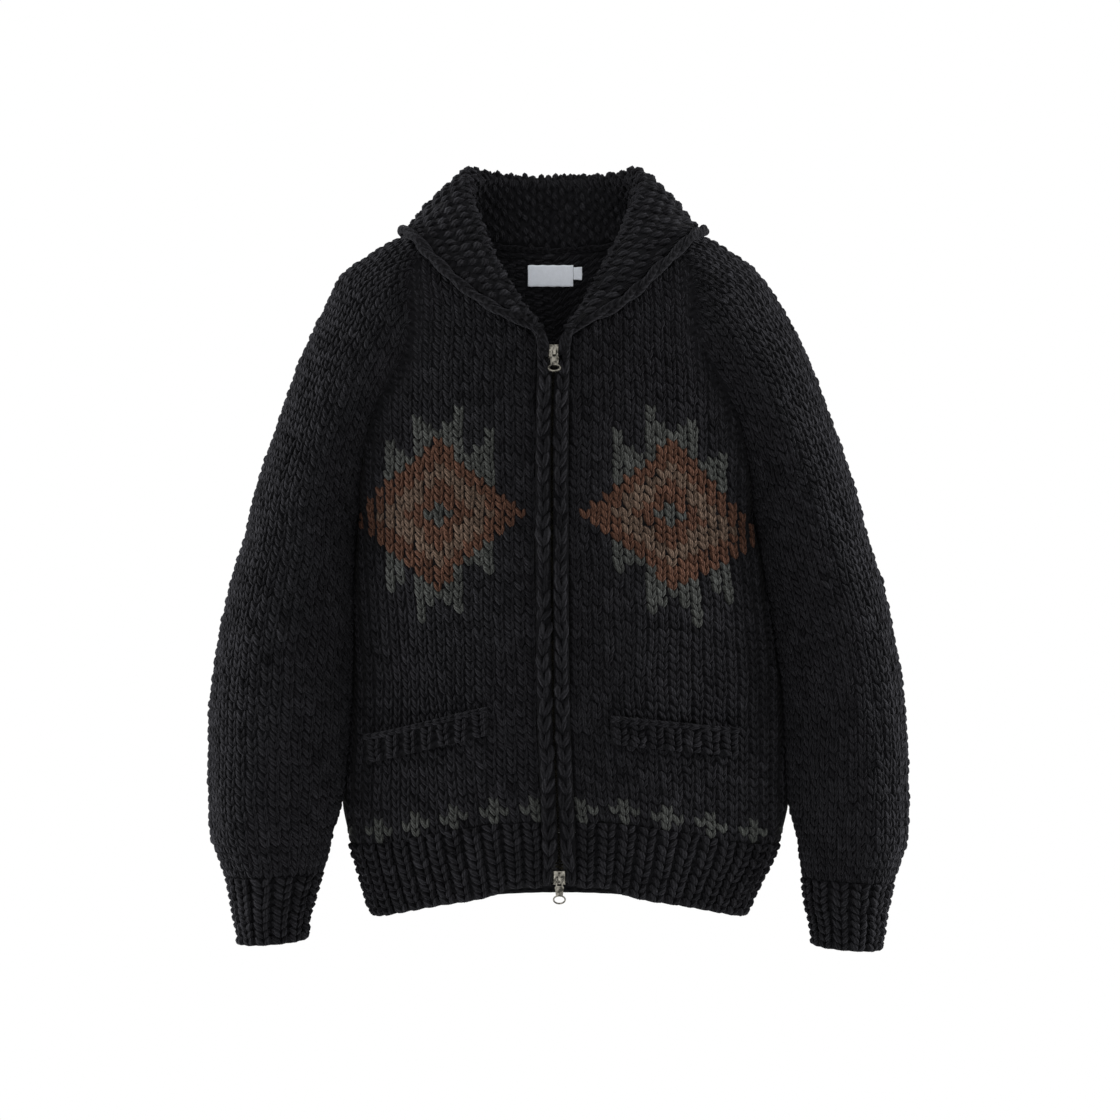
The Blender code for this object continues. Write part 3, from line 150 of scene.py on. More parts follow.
# A soft ridge runs down the front of each sleeve, where the outer side turns away.
RIDGE_COLUMNS = ("station", "angle", "height")
RIDGE = ((8, 50, 0.0), (11, 52, 2.5), (14, 55, 4.5), (17, 58, 5.0), (19, 60, 3.0), (22, 60, 1.0))
RIDGE_HALF_ANGLE = 20.0

# Front neckline: distance of its edge from the zip's middle.
NECKLINE_COLUMNS = ("z", "edge")
NECKLINE = ((-100, 17.3), (-97, 17.6), (-82, 33.0), (-60, 52.0), (-38, 66.5), (-15, 77.5),
            (2, 84.5), (20, 90.0))

# Lower edges, by distance from the zip's middle.
HEM_COLUMNS = ("x", "rib_top", "hem")
HEM = ((0, -579, -646), (45, -580, -647.5), (68, -582, -655.5), (87, -585, -660.5),
       (118, -590, -666), (141, -594, -671), (165, -600, -677), (190, -605, -683),
       (228, -609, -686))
BACK_HEM = -672.0         # the back's hem at its middle; it meets the front's at the sides
BACK_NECK = 12.0          # the back's neckline at its middle
BACK_DIP_ROWS = 5         # the back's rows hang down in the middle over this many stations

# Collar, by share of the way along the neckline from the back's middle to the zip.
# roll: top of the fold. edge: outer edge with its cord. All on the wearer's left.
COLLAR_COLUMNS = ("share", "roll_x", "roll_y", "roll_z", "edge_x", "edge_y", "edge_z", "fold")
COLLAR = (
    (0.00, 0, 62, 85.5, 0, 98, -5, 7.5),
    (0.12, 39, 56, 86, 57, 91, -2, 7.5),
    (0.24, 70, 38, 87, 110, 70, 4, 7.5),
    (0.34, 83, 14, 87, 146, 34, 13, 7.5),
    (0.42, 86, -5, 81, 156, 4, 17, 7.5),
    (0.50, 87, -20, 64, 151, -29, 9, 7.5),
    (0.58, 80, -34, 41, 135, -52, -8, 7.2),
    (0.68, 70, -49, 14, 115, -70, -26, 6.6),
    (0.78, 56, -64, -16, 91, -86, -47, 6.0),
    (0.88, 38, -80, -49, 63, -98, -67, 5.9),
    (0.95, 24, -90, -71, 38, -104, -81, 5.7),
    (1.00, 11, -97, -84, 19, -106, -95, 5.4),
)
COLLAR_STATIONS = 17      # from the back's middle to the tip
# Where the collar's mesh columns lie: share of the stand, then share of the leaf.
STAND_SHARES = (0.0, 0.4, 0.75, 0.9, 1.0)
LEAF_SHARES = (0.07, 0.16, 0.32, 0.5, 0.68, 0.85, 1.0)
FOLD_ANGLES = (-85, -45, 0, 45, 85)
PATH_POINTS = 120
RISE_POINT = 20           # of the path's points, the one that shows which way the stand rises
LEAF_SWELL = 0.45         # how far the leaf's middle stands out, as a share of the fold
LEAF_AIR = 2.5            # between the leaf and the cloth that it lies on
NECK_SEAM = 0.9           # from the body's edge to the collar's
CORD_RADIUS = 5.0
CORD_ROOM = 11.0          # length of the leaf's path that the edge cord takes
CORD_AIR = 0.7            # between the leaf's edge and the cord
CHEST_HEART = np.array([0.0, 0.0, -110.0])     # a point well inside the body, under the collar

# Pocket welts: top corners by distance from the zip's middle, inner and outer end.
WELT_COLUMNS = ("side", "inner", "inner_z", "outer", "outer_z")
WELTS = {
    "left": (1, 56.0, -472.0, 172.0, -486.0),
    "right": (-1, 66.0, -463.0, 200.0, -494.0),
}
WELT_HEIGHT = 29.0
WELT_RIBS = 7
WELT_WALL = 4.5
WELT_STAND_OFF = 2.6      # the welt's top edge stands off the front, for the hand

SLIDER_LENGTH = 14.0

LABEL = {"x": -8.5, "z": -16.0, "width": 48.0, "height": 22.0}
SIZE_TAB = {"x": 20.3, "z": -13.5, "width": 9.0, "height": 13.0}
LABEL_THICKNESS = 0.8


# ---------------------------------------------------------------- reading the tables
def smooth_curve(xs, ys):
    """A curve through the points that doesn't swing past them (monotone cubic)."""
    xs, ys = np.asarray(xs, float), np.asarray(ys, float)
    steps = np.diff(xs)
    slopes = np.diff(ys) / steps
    tangents = np.empty_like(ys)
    tangents[0], tangents[-1] = slopes[0], slopes[-1]
    before, after = slopes[:-1], slopes[1:]
    same_way = before * after > 0
    total = np.where(same_way, before + after, 1.0)
    tangents[1:-1] = np.where(same_way, 2 * before * after / total, 0.0)

    def read(x):
        x = np.clip(np.asarray(x, float), xs[0], xs[-1])
        i = np.clip(np.searchsorted(xs, x) - 1, 0, len(steps) - 1)
        s = (x - xs[i]) / steps[i]
        return ((1 + 2 * s) * (1 - s) ** 2 * ys[i] + s * (1 - s) ** 2 * steps[i] * tangents[i]
                + s * s * (3 - 2 * s) * ys[i + 1] + s * s * (s - 1) * steps[i] * tangents[i + 1])

    return read


def table_curves(columns, rows):
    """One curve for each column after the first, which is the one read along."""
    rows = np.asarray(rows, float)
    return {name: smooth_curve(rows[:, 0], rows[:, i])
            for i, name in enumerate(columns) if i > 0}


TORSO_AT = table_curves(TORSO_COLUMNS, TORSO)
LEAN_AT = table_curves(LEAN_COLUMNS, LEAN)
NECKLINE_AT = table_curves(NECKLINE_COLUMNS, NECKLINE)["edge"]
HEM_AT = table_curves(HEM_COLUMNS, HEM)
RIDGE_AT = table_curves(RIDGE_COLUMNS, RIDGE)
COLLAR_AT = table_curves(COLLAR_COLUMNS, COLLAR)
SLEEVE_AT = {name: smooth_curve(range(len(SLEEVE)), [row[i] for row in SLEEVE])
             for i, name in enumerate(SLEEVE_COLUMNS_NAMED)}


# ---------------------------------------------------------------- mesh helpers
def unit(vectors):
    length = np.linalg.norm(vectors, axis=-1, keepdims=True)
    return vectors / np.maximum(length, 1e-9)


def run_along(points, axis=0):
    """Length from the first point of a line, or of each line of a grid, to every point of it."""
    steps = np.linalg.norm(np.diff(points, axis=axis), axis=-1)
    return np.insert(np.cumsum(steps, axis=axis), 0, 0.0, axis=axis)


def read_line(at, run, points):
    """Points of a line at these lengths along it."""
    return np.stack([np.interp(at, run, points[:, k]) for k in range(3)], axis=1)


def along(grid, shares):
    """Resample every row of a grid at these shares of its length."""
    rows = []
    for row in grid:
        run = run_along(row)
        rows.append(read_line(np.asarray(shares) * run[-1], run, row))
    return np.array(rows)


def cells(index):
    """The four-sided faces of a grid of point numbers."""
    corners = (index[:-1, :-1], index[:-1, 1:], index[1:, 1:], index[1:, :-1])
    return np.stack(corners, axis=-1).reshape(-1, 4)


def grid_normals(grid, outward, closed_rows=None):
    """Unit normals of a grid of points; outward gives a rough outward direction for each."""
    across = np.gradient(grid, axis=1)
    if closed_rows is not None:
        wrapped = (grid[:, 1] - grid[:, -2]) / 2
        across[closed_rows, 0] = wrapped[closed_rows]
        across[closed_rows, -1] = wrapped[closed_rows]
    normals = unit(np.cross(across, np.gradient(grid, axis=0)))
    flip = np.sign(np.sum(normals * outward, axis=-1).mean())
    return normals * flip


def sideways(points):
    """How far the garment's lean and turn move these points along X."""
    points = np.asarray(points, float)
    reach = (np.abs(points[..., 0]) - TURN_MIDDLE) / TURN_REACH
    turn = np.clip(1.0 - reach ** 2, 0.0, 1.0) ** 2
    sway = np.clip(1.0 - (points[..., 0] / SWAY_REACH) ** 2, 0.0, 1.0) ** 2
    return (LEAN_AT["shift"](points[..., 2]) + LEAN_AT["turn"](points[..., 2]) * turn
            + LEAN_AT["sway"](points[..., 2]) * sway)


def from_axis(grid):
    """Directions that point away from the garment's upright middle line."""
    return unit(grid * (1.0, 1.0, 0.0))


def pull_back(grids, edge, gap):
    """Move one edge of a piece's grids into the piece by a share of a seam's gap."""
    for grid in grids:
        if edge == "left":
            grid[:, 0] += unit(grid[:, 1] - grid[:, 0]) * gap
        elif edge == "right":
            grid[:, -1] += unit(grid[:, -2] - grid[:, -1]) * gap
        elif edge == "top":
            grid[0] += unit(grid[1] - grid[0]) * gap
        else:
            grid[-1] += unit(grid[-2] - grid[-1]) * gap


def mirrored(grid, side):
    """The wearer's right side is the left one turned over in X."""
    return grid * (side, 1.0, 1.0)


# ---------------------------------------------------------------- torso
def torso_depth(x, z, edge, edge_depth, face):
    """How far the front or back face lies from the middle plane at (x, z)."""
    full = TORSO_AT[face](z)
    inside = np.clip(1.0 - np.abs(x / edge) ** OVAL, 0.0, 1.0)
    return edge_depth + (full - edge_depth) * inside ** TORSO_AT["edge_round"](z)


def torso_row(face, z, edge, edge_depth, start, shares):
    """Points of one level from `start` to the edge, spaced by length along the cloth."""
    first = math.asin(min(start / edge, 1.0))
    x = edge * np.sin(np.linspace(first, math.pi / 2, LEVEL_POINTS))
    side = -1.0 if face == "front" else 1.0
    y = side * torso_depth(x, z, edge, edge_depth, face)
    row = np.stack([x, y, np.full_like(x, z)], axis=1)
    return along(row[None], shares)[0]


def side_depth(face):
    """Depth of the side seam, as the front face or the back face counts it."""
    return -SIDE_Y if face == "front" else SIDE_Y


def front_depth(x, z):
    """Depth of the front's outer face below the yoke."""
    return torso_depth(x, z, TORSO_AT["half_width"](z), side_depth("front"), "front")


# ---------------------------------------------------------------- sleeve
def sleeve_row(station, shares, side):
    """Outer points of a sleeve section, from its front seam round the ridge to its back seam."""
    s = {name: float(curve(station)) for name, curve in SLEEVE_AT.items()}
    tilt = math.radians(s["tilt"])
    across = s["across"]
    toward_ridge = np.array([math.cos(tilt), 0.0, math.sin(tilt)])
    sag = -side * CUFF_SAG * min(max(station - ARMPIT_STATION, 0.0) / SAG_STATIONS, 1.0)
    centre = np.array([s["ridge_x"], 0.0, s["ridge_z"] + sag]) - across * toward_ridge
    angles = np.radians(np.linspace(-s["sweep_front"], s["sweep_back"], SECTION_POINTS))
    depth = np.where(angles < 0, s["front"], s["back"])
    swell = RIDGE_AT["height"](station) if station >= RIDGE[0][0] else 0.0
    distance = np.degrees(np.abs(angles + np.radians(RIDGE_AT["angle"](station))))
    bulge = 1.0 + swell / s["front"] * np.exp(-(distance / RIDGE_HALF_ANGLE) ** 2)
    out = np.outer(across * np.cos(angles) * bulge, toward_ridge)
    out[:, 1] += s["middle_y"] + depth * np.sin(angles) * bulge
    return along((centre + out)[None], shares)[0]


def clear_of_torso(points):
    """Push the inner side of a hanging sleeve out of the torso."""
    clear = points.copy()
    below = points[:, 2] < SLEEVE[ARMPIT_STATION][1] - ARMPIT_ROOM
    width = TORSO_AT["half_width"](points[:, 2])
    depth = np.where(points[:, 1] < SIDE_Y, TORSO_AT["front"](points[:, 2]) + SIDE_Y,
                     TORSO_AT["back"](points[:, 2]) - SIDE_Y)
    level = np.clip(1.0 - np.abs((points[:, 1] - SIDE_Y) / depth) ** OVAL, 0.0, 1.0)
    torso_x = width * level ** (1.0 / OVAL) + ARM_CLEAR
    clear[:, 0] = np.where(below, np.maximum(points[:, 0], torso_x), points[:, 0])
    return clear


CAP_STATIONS = np.array([0, 0.7, 1.4, 2.2, 3, 3.9, 5, 6, 7, 8, 9, ARMPIT_STATION])
ARM_STATIONS = np.array([10.6, 11.3, 12.2, 13.2, 14.2, 15.2, 16.1, 17, 17.8, 18.5, CUFF_STATION])
SLEEVE_SHARES = np.linspace(0.0, 1.0, SLEEVE_COLUMNS + 1)


def sleeve_grid(stations, side):
    """Outer grid of a sleeve's stations, on the wearer's left."""
    grid = np.array([sleeve_row(station, SLEEVE_SHARES, side) for station in stations])
    for i, station in enumerate(stations):
        if station > ARMPIT_STATION:
            grid[i] = clear_of_torso(grid[i])
        elif station == ARMPIT_STATION:
            grid[i, -1] = grid[i, 0]
    return grid


def raglan_seams():
    """Front and back raglan seams: the ends of the sleeve's open sections."""
    cap = sleeve_grid(CAP_STATIONS, 0)
    return cap[:, 0], cap[:, -1]


FRONT_RAGLAN, BACK_RAGLAN = raglan_seams()
ARMPIT_Z = FRONT_RAGLAN[-1, 2]


# ---------------------------------------------------------------- body panels
BODY_LEVELS = (-318.0, -355.0, -395.0, -435.0, -475.0, -515.0, -550.0)


def front_grid():
    """Outer grid of the wearer's left front, from the neck down to the top of the rib."""
    shares = np.linspace(0.0, 1.0, FRONT_COLUMNS + 1)
    rows = []
    for x, y, z in FRONT_RAGLAN:
        start = float(NECKLINE_AT(z)) if z > ZIP_TOP else CORD_OUTER + SEAM
        rows.append(torso_row("front", z, x, -y, start, shares))
    depth = side_depth("front")
    for z in BODY_LEVELS:
        width = float(TORSO_AT["half_width"](z))
        rows.append(torso_row("front", z, width, depth, CORD_OUTER + SEAM, shares))
    rows.append(rib_row("front", 0.0, shares))
    return np.array(rows)


def back_grid():
    """Outer grid of the whole back, from side to side."""
    half = np.linspace(0.0, 1.0, BACK_COLUMNS // 2 + 1)
    rows = []
    top = BACK_RAGLAN[0, 2] - BACK_NECK
    for i, (x, y, z) in enumerate(BACK_RAGLAN):
        row = torso_row("back", z, x, y, 0.0, half)
        dip = top * max(0.0, 1.0 - i / BACK_DIP_ROWS)
        row[:, 2] -= dip * (1.0 - (row[:, 0] / x) ** 2)
        rows.append(row)
    depth = side_depth("back")
    for z in BODY_LEVELS:
        width = float(TORSO_AT["half_width"](z))
        rows.append(torso_row("back", z, width, depth, 0.0, half))
    rows.append(rib_row("back", 0.0, half))
    right = np.array(rows)
    return np.concatenate((mirrored(right[:, :0:-1], -1), right), axis=1)


def rib_levels(face, x):
    """Levels of the rib's top and of the hem at these distances from the zip."""
    if face == "front":
        return HEM_AT["rib_top"](x), HEM_AT["hem"](x)
    _, side_top, side_hem = HEM[-1]
    dip = (BACK_HEM - side_hem) * (1.0 - (x / x.max()) ** 2)
    return np.full_like(x, side_top), side_hem + dip


def rib_row(face, share, shares):
    """A row of the hem rib: share 0 is its top, 1 the hem. Its level changes along it."""
    start = CORD_OUTER + SEAM if face == "front" else 0.0
    side = -1.0 if face == "front" else 1.0
    depth = side_depth(face)
    _, top, low = HEM[-1]
    level = top + (low - top) * share
    row = torso_row(face, level, float(TORSO_AT["half_width"](level)), depth, start, shares)
    for _ in range(3):
        top, low = rib_levels(face, row[:, 0])
        z = top + (low - top) * share
        edge = TORSO_AT["half_width"](z)
        x = np.clip(row[:, 0] / row[-1, 0], 0.0, 1.0) * edge[-1]
        y = side * torso_depth(np.minimum(x, edge), z, edge, depth, face)
        row = along(np.stack([x, y, z], axis=1)[None], shares)[0]
        row[0, 0] = start
    return row


def soften_pair(own, other):
    """Seam normals: shared where two pieces run on smoothly, their own where they fold."""
    level = np.sum(own * other, axis=-1, keepdims=True)
    share = np.clip((level + 0.1) / 0.6, 0.0, 1.0)
    return unit(own * (1.0 - share) + unit(own + other) * share)


def square_off(normal, rows=None, columns=None):
    """Where two pieces meet edge to edge, both walls run square to the seam."""
    if rows is not None:
        normal[rows] = unit(normal[rows] * (1.0, 1.0, 0.0))
    if columns is not None:
        normal[columns] = unit(normal[columns] * (1.0, 0.0, 1.0))


CLOTH = {}                # outer and inner grids of the solids of body and sleeves
CAP_ROWS = len(CAP_STATIONS)


def walls(grid, normals, edges):
    """Outer and inner grid of a piece, drawn back a little from these seams."""
    grids = [grid.copy(), grid - normals * WALL]
    for edge in edges:
        pull_back(grids, edge, SEAM / 2)
    return grids


def body_surfaces():
    """Outer grids of the left front and of the back, with their normals."""
    front, back = front_grid(), back_grid()
    front_normal = grid_normals(front, from_axis(front))
    front_normal[0] = front_normal[1]
    back_normal = grid_normals(back, from_axis(back))
    side_rows = slice(CAP_ROWS - 1, None)
    square_off(front_normal, rows=-1, columns=(side_rows, -1))
    square_off(back_normal, rows=-1, columns=(side_rows, -1))
    square_off(back_normal, columns=(side_rows, 0))
    return front, front_normal, back, back_normal


def sleeve_surface(side):
    """Outer grid of a sleeve, whose upper rows end on the raglan seams, with its normals."""
    stations = np.concatenate((CAP_STATIONS, ARM_STATIONS))
    sleeve = sleeve_grid(stations, side)
    sleeve[:CAP_ROWS, 0] = FRONT_RAGLAN
    sleeve[:CAP_ROWS, -1] = BACK_RAGLAN
    centres = sleeve.mean(axis=1, keepdims=True)
    return sleeve, grid_normals(sleeve, unit(sleeve - centres), stations >= ARMPIT_STATION)


def sleeve_walls(sleeve, normal):
    """Outer and inner grid of a sleeve; only the open rows above the armpit have side seams."""
    grids = walls(sleeve, normal, ())
    for edge in ("left", "right"):
        pull_back([grid[:CAP_ROWS] for grid in grids], edge, SEAM / 2)
    grids[0][CAP_ROWS - 1, -1] = grids[0][CAP_ROWS - 1, 0]
    pull_back(grids, "bottom", SEAM / 2)
    return grids


def build_body_and_sleeves():
    """Fronts, back and sleeves, whose seams share their points."""
    front, front_normal, back, back_normal = body_surfaces()
    seam = slice(0, CAP_ROWS - 1)
    front_edge, back_edge = front_normal[seam, -1], back_normal[seam, -1]
    for side, hand in HANDS:
        sleeve, normal = sleeve_surface(side)
        sleeve_front, sleeve_back = normal[seam, 0].copy(), normal[seam, -1].copy()
        own_front, own_back = front_normal.copy(), back_normal.copy()
        own_front[seam, -1] = soften_pair(front_edge, sleeve_front)
        own_back[seam, -1] = soften_pair(back_edge, sleeve_back)
        normal[seam, 0] = soften_pair(sleeve_front, front_edge)
        normal[seam, -1] = soften_pair(sleeve_back, back_edge)
        sleeve_grids = sleeve_walls(sleeve, normal)
        front_grids = walls(front, own_front, ("right", "bottom"))
        CLOTH["sleeve_" + hand] = [mirrored(grid, side) for grid in sleeve_grids]
        CLOTH["front_" + hand] = [mirrored(grid, side) for grid in front_grids]
        if side == 1:
            both = own_back
            both[:, 0] = both[:, -1] * (-1.0, 1.0, 1.0)
    CLOTH["back"] = walls(back, both, ("left", "right", "bottom"))


# ---------------------------------------------------------------- collar
def neckline_path():
    """The cloth's upper edge from the back's middle over the shoulder to the zip.

    Gives points on the middle of its thickness, and the directions in which the cloth ends there.
    """
    front, back, sleeve = (sum(CLOTH[name]) / 2 for name in ("front_left", "back", "sleeve_left"))
    count = int(np.sum(front[:len(CAP_STATIONS), 0, 2] > ZIP_TOP))
    half = slice(BACK_COLUMNS // 2, -1)
    end = ZIP_TOP + 2.0
    last = np.array([float(NECKLINE_AT(end)), WALL / 2 - float(TORSO_AT["front"](end)), end])
    points = np.concatenate((back[0, half], sleeve[0, ::-1], front[:count, 0], [last]))
    ends = np.concatenate((back[0, half] - back[1, half], (sleeve[0] - sleeve[1])[::-1],
                           front[:count, 0] - front[:count, 1]))
    ends = np.concatenate((ends, ends[-1:]))
    forward = unit(np.gradient(points, axis=0))
    ends = ends - np.sum(ends * forward, axis=1, keepdims=True) * forward
    return points, unit(ends)


def collar_path(share, root):
    """Middle line of the collar's cloth at one station, from the neck seam to the outer edge."""
    def fold_line(spot):
        return np.array([float(COLLAR_AT[name](spot)) for name in ("roll_x", "roll_y", "roll_z")])

    step = 0.01
    roll = fold_line(share)
    forward = unit(fold_line(min(share + step, 1.0)) - fold_line(max(share - step, 0.0)))
    edge = np.array([float(COLLAR_AT[name](share)) for name in ("edge_x", "edge_y", "edge_z")])
    fold = float(COLLAR_AT["fold"](share))
    inward = (root + edge) / 2 - roll
    inward = unit(inward - np.dot(inward, forward) * forward)
    out = np.cross(forward, inward)
    out = out * np.sign(np.dot(out, roll - CHEST_HEART))
    arc = [roll + fold * (inward * (1.0 - math.cos(a)) + out * math.sin(a))
           for a in np.radians(FOLD_ANGLES)]
    stand_middle = (root + arc[0]) / 2
    leaf_middle = (arc[-1] + edge) / 2 + (out - inward) * fold * LEAF_SWELL
    knots = np.array([root, stand_middle, *arc, leaf_middle, edge])
    gaps = np.sqrt(np.linalg.norm(np.diff(knots, axis=0), axis=1))
    spots = np.concatenate(([0.0], np.cumsum(gaps)))
    fine = np.linspace(0.0, spots[-1], PATH_POINTS)
    curve = spline_points(spots, knots, fine)
    return curve, spots[2 + FOLD_ANGLES.index(0)] / spots[-1]


def spline(xs, ys, at):
    """Catmull-Rom curve through uneven knots."""
    tangents = np.gradient(ys, xs)
    i = np.clip(np.searchsorted(xs, at) - 1, 0, len(xs) - 2)
    step = xs[i + 1] - xs[i]
    s = (at - xs[i]) / step
    return ((1 + 2 * s) * (1 - s) ** 2 * ys[i] + s * (1 - s) ** 2 * step * tangents[i]
            + s * s * (3 - 2 * s) * ys[i + 1] + s * s * (s - 1) * step * tangents[i + 1])


def spline_points(knots, points, at):
    """Points on a smooth curve through these points, at these places between its knots."""
    return np.stack([spline(knots, points[:, k], at) for k in range(points.shape[1])], axis=1)


def body_surface():
    """The outer faces of body and sleeves, to lay the collar on."""
    vertices, faces = [], []
    for outer, _ in CLOTH.values():
        rows, columns = outer.shape[:2]
        index = len(vertices) + np.arange(rows * columns).reshape(rows, columns)
        vertices += [Vector(point) for point in outer.reshape(-1, 3)]
        faces += cells(index).tolist()
    return BVHTree.FromPolygons(vertices, faces)


def lift_off(points, surface, distance):
    """Move points out until they stand this far off the cloth below them."""
    lifted = np.array(points, float)
    for point in lifted:
        for _ in range(6):
            near, normal, _, gap = surface.find_nearest(Vector(point))
            away = np.array(normal)
            away *= np.sign(np.dot(away, point - CHEST_HEART))
            height = float(np.dot(point - np.array(near), away))
            beyond_edge = abs(height) < 0.8 * gap
            depth = gap if beyond_edge or height > 0 else -gap
            if depth >= distance:
                break
            point += away * (distance - depth)
    return lifted


def collar_roots(shares):
    """Where the collar's cloth starts at each station, clear of the body's edge."""
    neck, neck_ends = neckline_path()
    lengths = run_along(neck)
    forward = unit(np.gradient(neck, axis=0))
    roots, ends, forward = (read_line(shares * lengths[-1], lengths, table)
                            for table in (neck, neck_ends, forward))
    rises = [collar_path(share, root)[0][RISE_POINT] - root for share, root in zip(shares, roots)]
    lean = np.abs(np.sum(unit(np.cross(forward, rises)) * ends, axis=1))
    lean = np.maximum(lean, np.maximum(np.append(lean[1:], 0.0), np.append(0.0, lean[:-1])))
    return roots + ends * (NECK_SEAM + COLLAR_WALL / 2 * lean[:, None])


def collar_row(share, root, surface):
    """Points across the collar at one station, from the neck seam to where its cord begins."""
    curve, fold_at = collar_path(share, root)
    run = run_along(curve)
    at_fold = np.interp(fold_at * (len(curve) - 1), np.arange(len(curve)), run)
    leaf = run[-1] - at_fold
    room = min(CORD_ROOM, 0.5 * leaf)
    spots = [s * at_fold for s in STAND_SHARES]
    spots += [at_fold + s * (leaf - room) for s in LEAF_SHARES]
    points = read_line(spots, run, curve)
    first = len(STAND_SHARES) + 1
    points[first:] = lift_off(points[first:], surface, COLLAR_WALL / 2 + LEAF_AIR)
    return points


def edge_cord_line(grid, surface):
    """Middle line of the cord along the collar's edge, clear of the leaf and of the body."""
    rim = grid[:, -1]
    forward = unit(np.gradient(rim, axis=0))
    onward = rim - grid[:, -2]
    onward = unit(onward - np.sum(onward * forward, axis=1, keepdims=True) * forward)
    reach = CORD_RADIUS + CORD_AIR
    line = rim + onward * reach
    for _ in range(4):
        line = lift_off(line, surface, CORD_RADIUS + LEAF_AIR)
        short = reach - np.sum((line - rim) * onward, axis=1, keepdims=True)
        line = line + onward * np.maximum(short, 0.0)
    return line


def collar_lines():
    """Middle surface of the collar's cloth with its normals, and the middle line of its cord."""
    surface = body_surface()
    shares = np.linspace(0.0, 1.0, COLLAR_STATIONS)
    half = np.array([collar_row(share, root, surface)
                     for share, root in zip(shares, collar_roots(shares))])
    grid = np.concatenate((mirrored(half[:0:-1], -1), half))
    upward = np.zeros_like(grid)
    upward[..., 2] = 1.0
    normal = grid_normals(grid, upward)
    facing = np.sign(np.sum(normal[:, -3:] * from_axis(grid)[:, -3:], axis=-1).mean())
    return grid, normal * facing, edge_cord_line(grid, surface)


# ---------------------------------------------------------------- zip
SLIDER_TOP_Z = ZIP_TOP - 7.5
SLIDER_BOTTOM_Z = -636.5


def cord_inner_edge(z):
    """The edging's inner edge, which gives way round the two sliders."""
    edge = CORD_INNER
    for middle in (SLIDER_TOP_Z, SLIDER_BOTTOM_Z):
        beyond = max(0.0, abs(z - middle) - SLIDER_LENGTH / 2 - 2.0)
        near = 1.0 - beyond / SLIDER_ROOM_TAPER
        edge = max(edge, CORD_INNER + (SLIDER_ROOM - CORD_INNER) * near)
    return edge


def front_surface(x, z):
    """A point on the front's outer face and its normal, on the wearer's left."""
    y = -front_depth(x, z)
    step = 0.5
    slope_x = (-front_depth(x + step, z) - y) / step
    slope_z = (-front_depth(x, z + step) - y) / step
    normal = unit(np.stack([slope_x, -np.ones_like(y), slope_z], axis=-1))
    return np.stack([x, y, z], axis=-1), normal


# ---------------------------------------------------------------- sizes of the knitting
COLUMN = 10.5             # from one column of stitches to the next
ROW = 8.0                 # from one row to the next, on fronts and back
SLEEVE_ROW = 8.7
RIB_ROW = 7.8
SHELL_FRONT = 1.6         # the base shell lies this far behind the solid's face ...
SHELL_BACK = 5.0          # ... with its inner face this far behind it
STITCH_SINK = 2.2         # a stitch's foot lies this far behind the solid's face
FIELD_STEP = 2.0          # spacing of the points of a surface that is knitted on
SEAM_STATIONS = 61        # stations of the raglan seam beside the body's surface
TORSO_POINTS = 120        # points of a row of the body's surface ...
SLEEVE_POINTS = 161       # ... and of a sleeve's, before they are read by length
SLEEVE_STATIONS = 221     # rows of points of a sleeve's surface
SHELL_LAP = 1.5           # the shells of neighbours reach this far past their seam
SHELL_CLOSER = 2.4        # beside a seam a shell lies this much nearer to the face
CLOSER_REACH = 40.0       # over this length on the body ...
SLEEVE_CLOSER = 12.0      # ... and this one on the sleeves
HEM_FADE = 180.0          # the rows bow down to the sides over this height above the rib
LAP = 5.0                 # stitches may reach this far past the edge of their piece
CREASE_FADE = 30.0        # a crease fades out over this length past its ends
EDGE_REACH = 3.0          # a stitch may have its place this far past its piece's seam
LEVEL_STEP = 4.0          # from one row of points to the next on the body's and the cords' surfaces
FRONT_STITCHES, FRONT_ROWS = 26, 80     # columns and rows that are sure to cover a front ...
BACK_STITCHES, BACK_ROWS = 26, 82       # ... and half of the back
SLEEVE_STITCHES = 24      # columns on each side of a sleeve's ridge, for the same reason
GATHER_STATION = 17.0     # from this station down a sleeve's columns draw together

# How far stitches differ by chance, in standard deviations.
SIZE_SPREAD = 0.06
PLACE_SPREAD = 0.5        # millimetres
ANGLE_SPREAD = 4.5        # degrees
HEIGHT_SPREAD = 0.13

# Seeds of the random draws. The side in X is added where both hands have the same piece.
SEEDS = {"front_wander": 7, "front": 11, "back_wander": 5, "back": 21, "inner_purl": 25,
         "sleeve_wander": 17, "sleeve": 31, "front_rib": 41, "back_rib": 51, "cuff": 61, "leaf": 71,
         "stand": 75, "chain": 81, "chain_length": 85, "welt": 91, "welt_binding": 95}

# Chest pattern, by stitches from its middle: a diamond, a ring in it, a cross, and rays.
DIAMOND_INNER = 8.45              # columns from the middle to the point beside the zip
DIAMOND_OUTER = 9.6               # and to the point beside the sleeve, which is cut short
DIAMOND_ROWS = 9.1                # rows from the middle to the upper and lower points
DIAMOND_BORDER = 0.70             # outside this share of the diamond its edge colour shows
DIAMOND_LIMIT = 8                 # columns from the middle to its cut
RING_COLUMNS, RING_ROWS = 3.1, 4.9
MOTIF_COLUMN = 9                  # the middle column, counted from the zip's cord
MOTIF_ROW = 38                    # the middle row, counted up from the rib
RAY_COLUMNS = ("inward", "up", "down")        # columns towards the zip, rows up and down
RAYS = ((5, 10, 7), (4, 8, 6), (3, 7, 6), (2, 13, 12), (1, 11, 11), (0, 10, 10),
        (-1, 11, 11), (-2, 12, 13), (-3, 7, 6), (-4, 8, 8), (-5, 9, 9))
CROSS_COLUMNS = 4                 # columns from one small hem cross to the next
CROSS_TOP = 2                     # the row of their upper points; they begin just above the rib

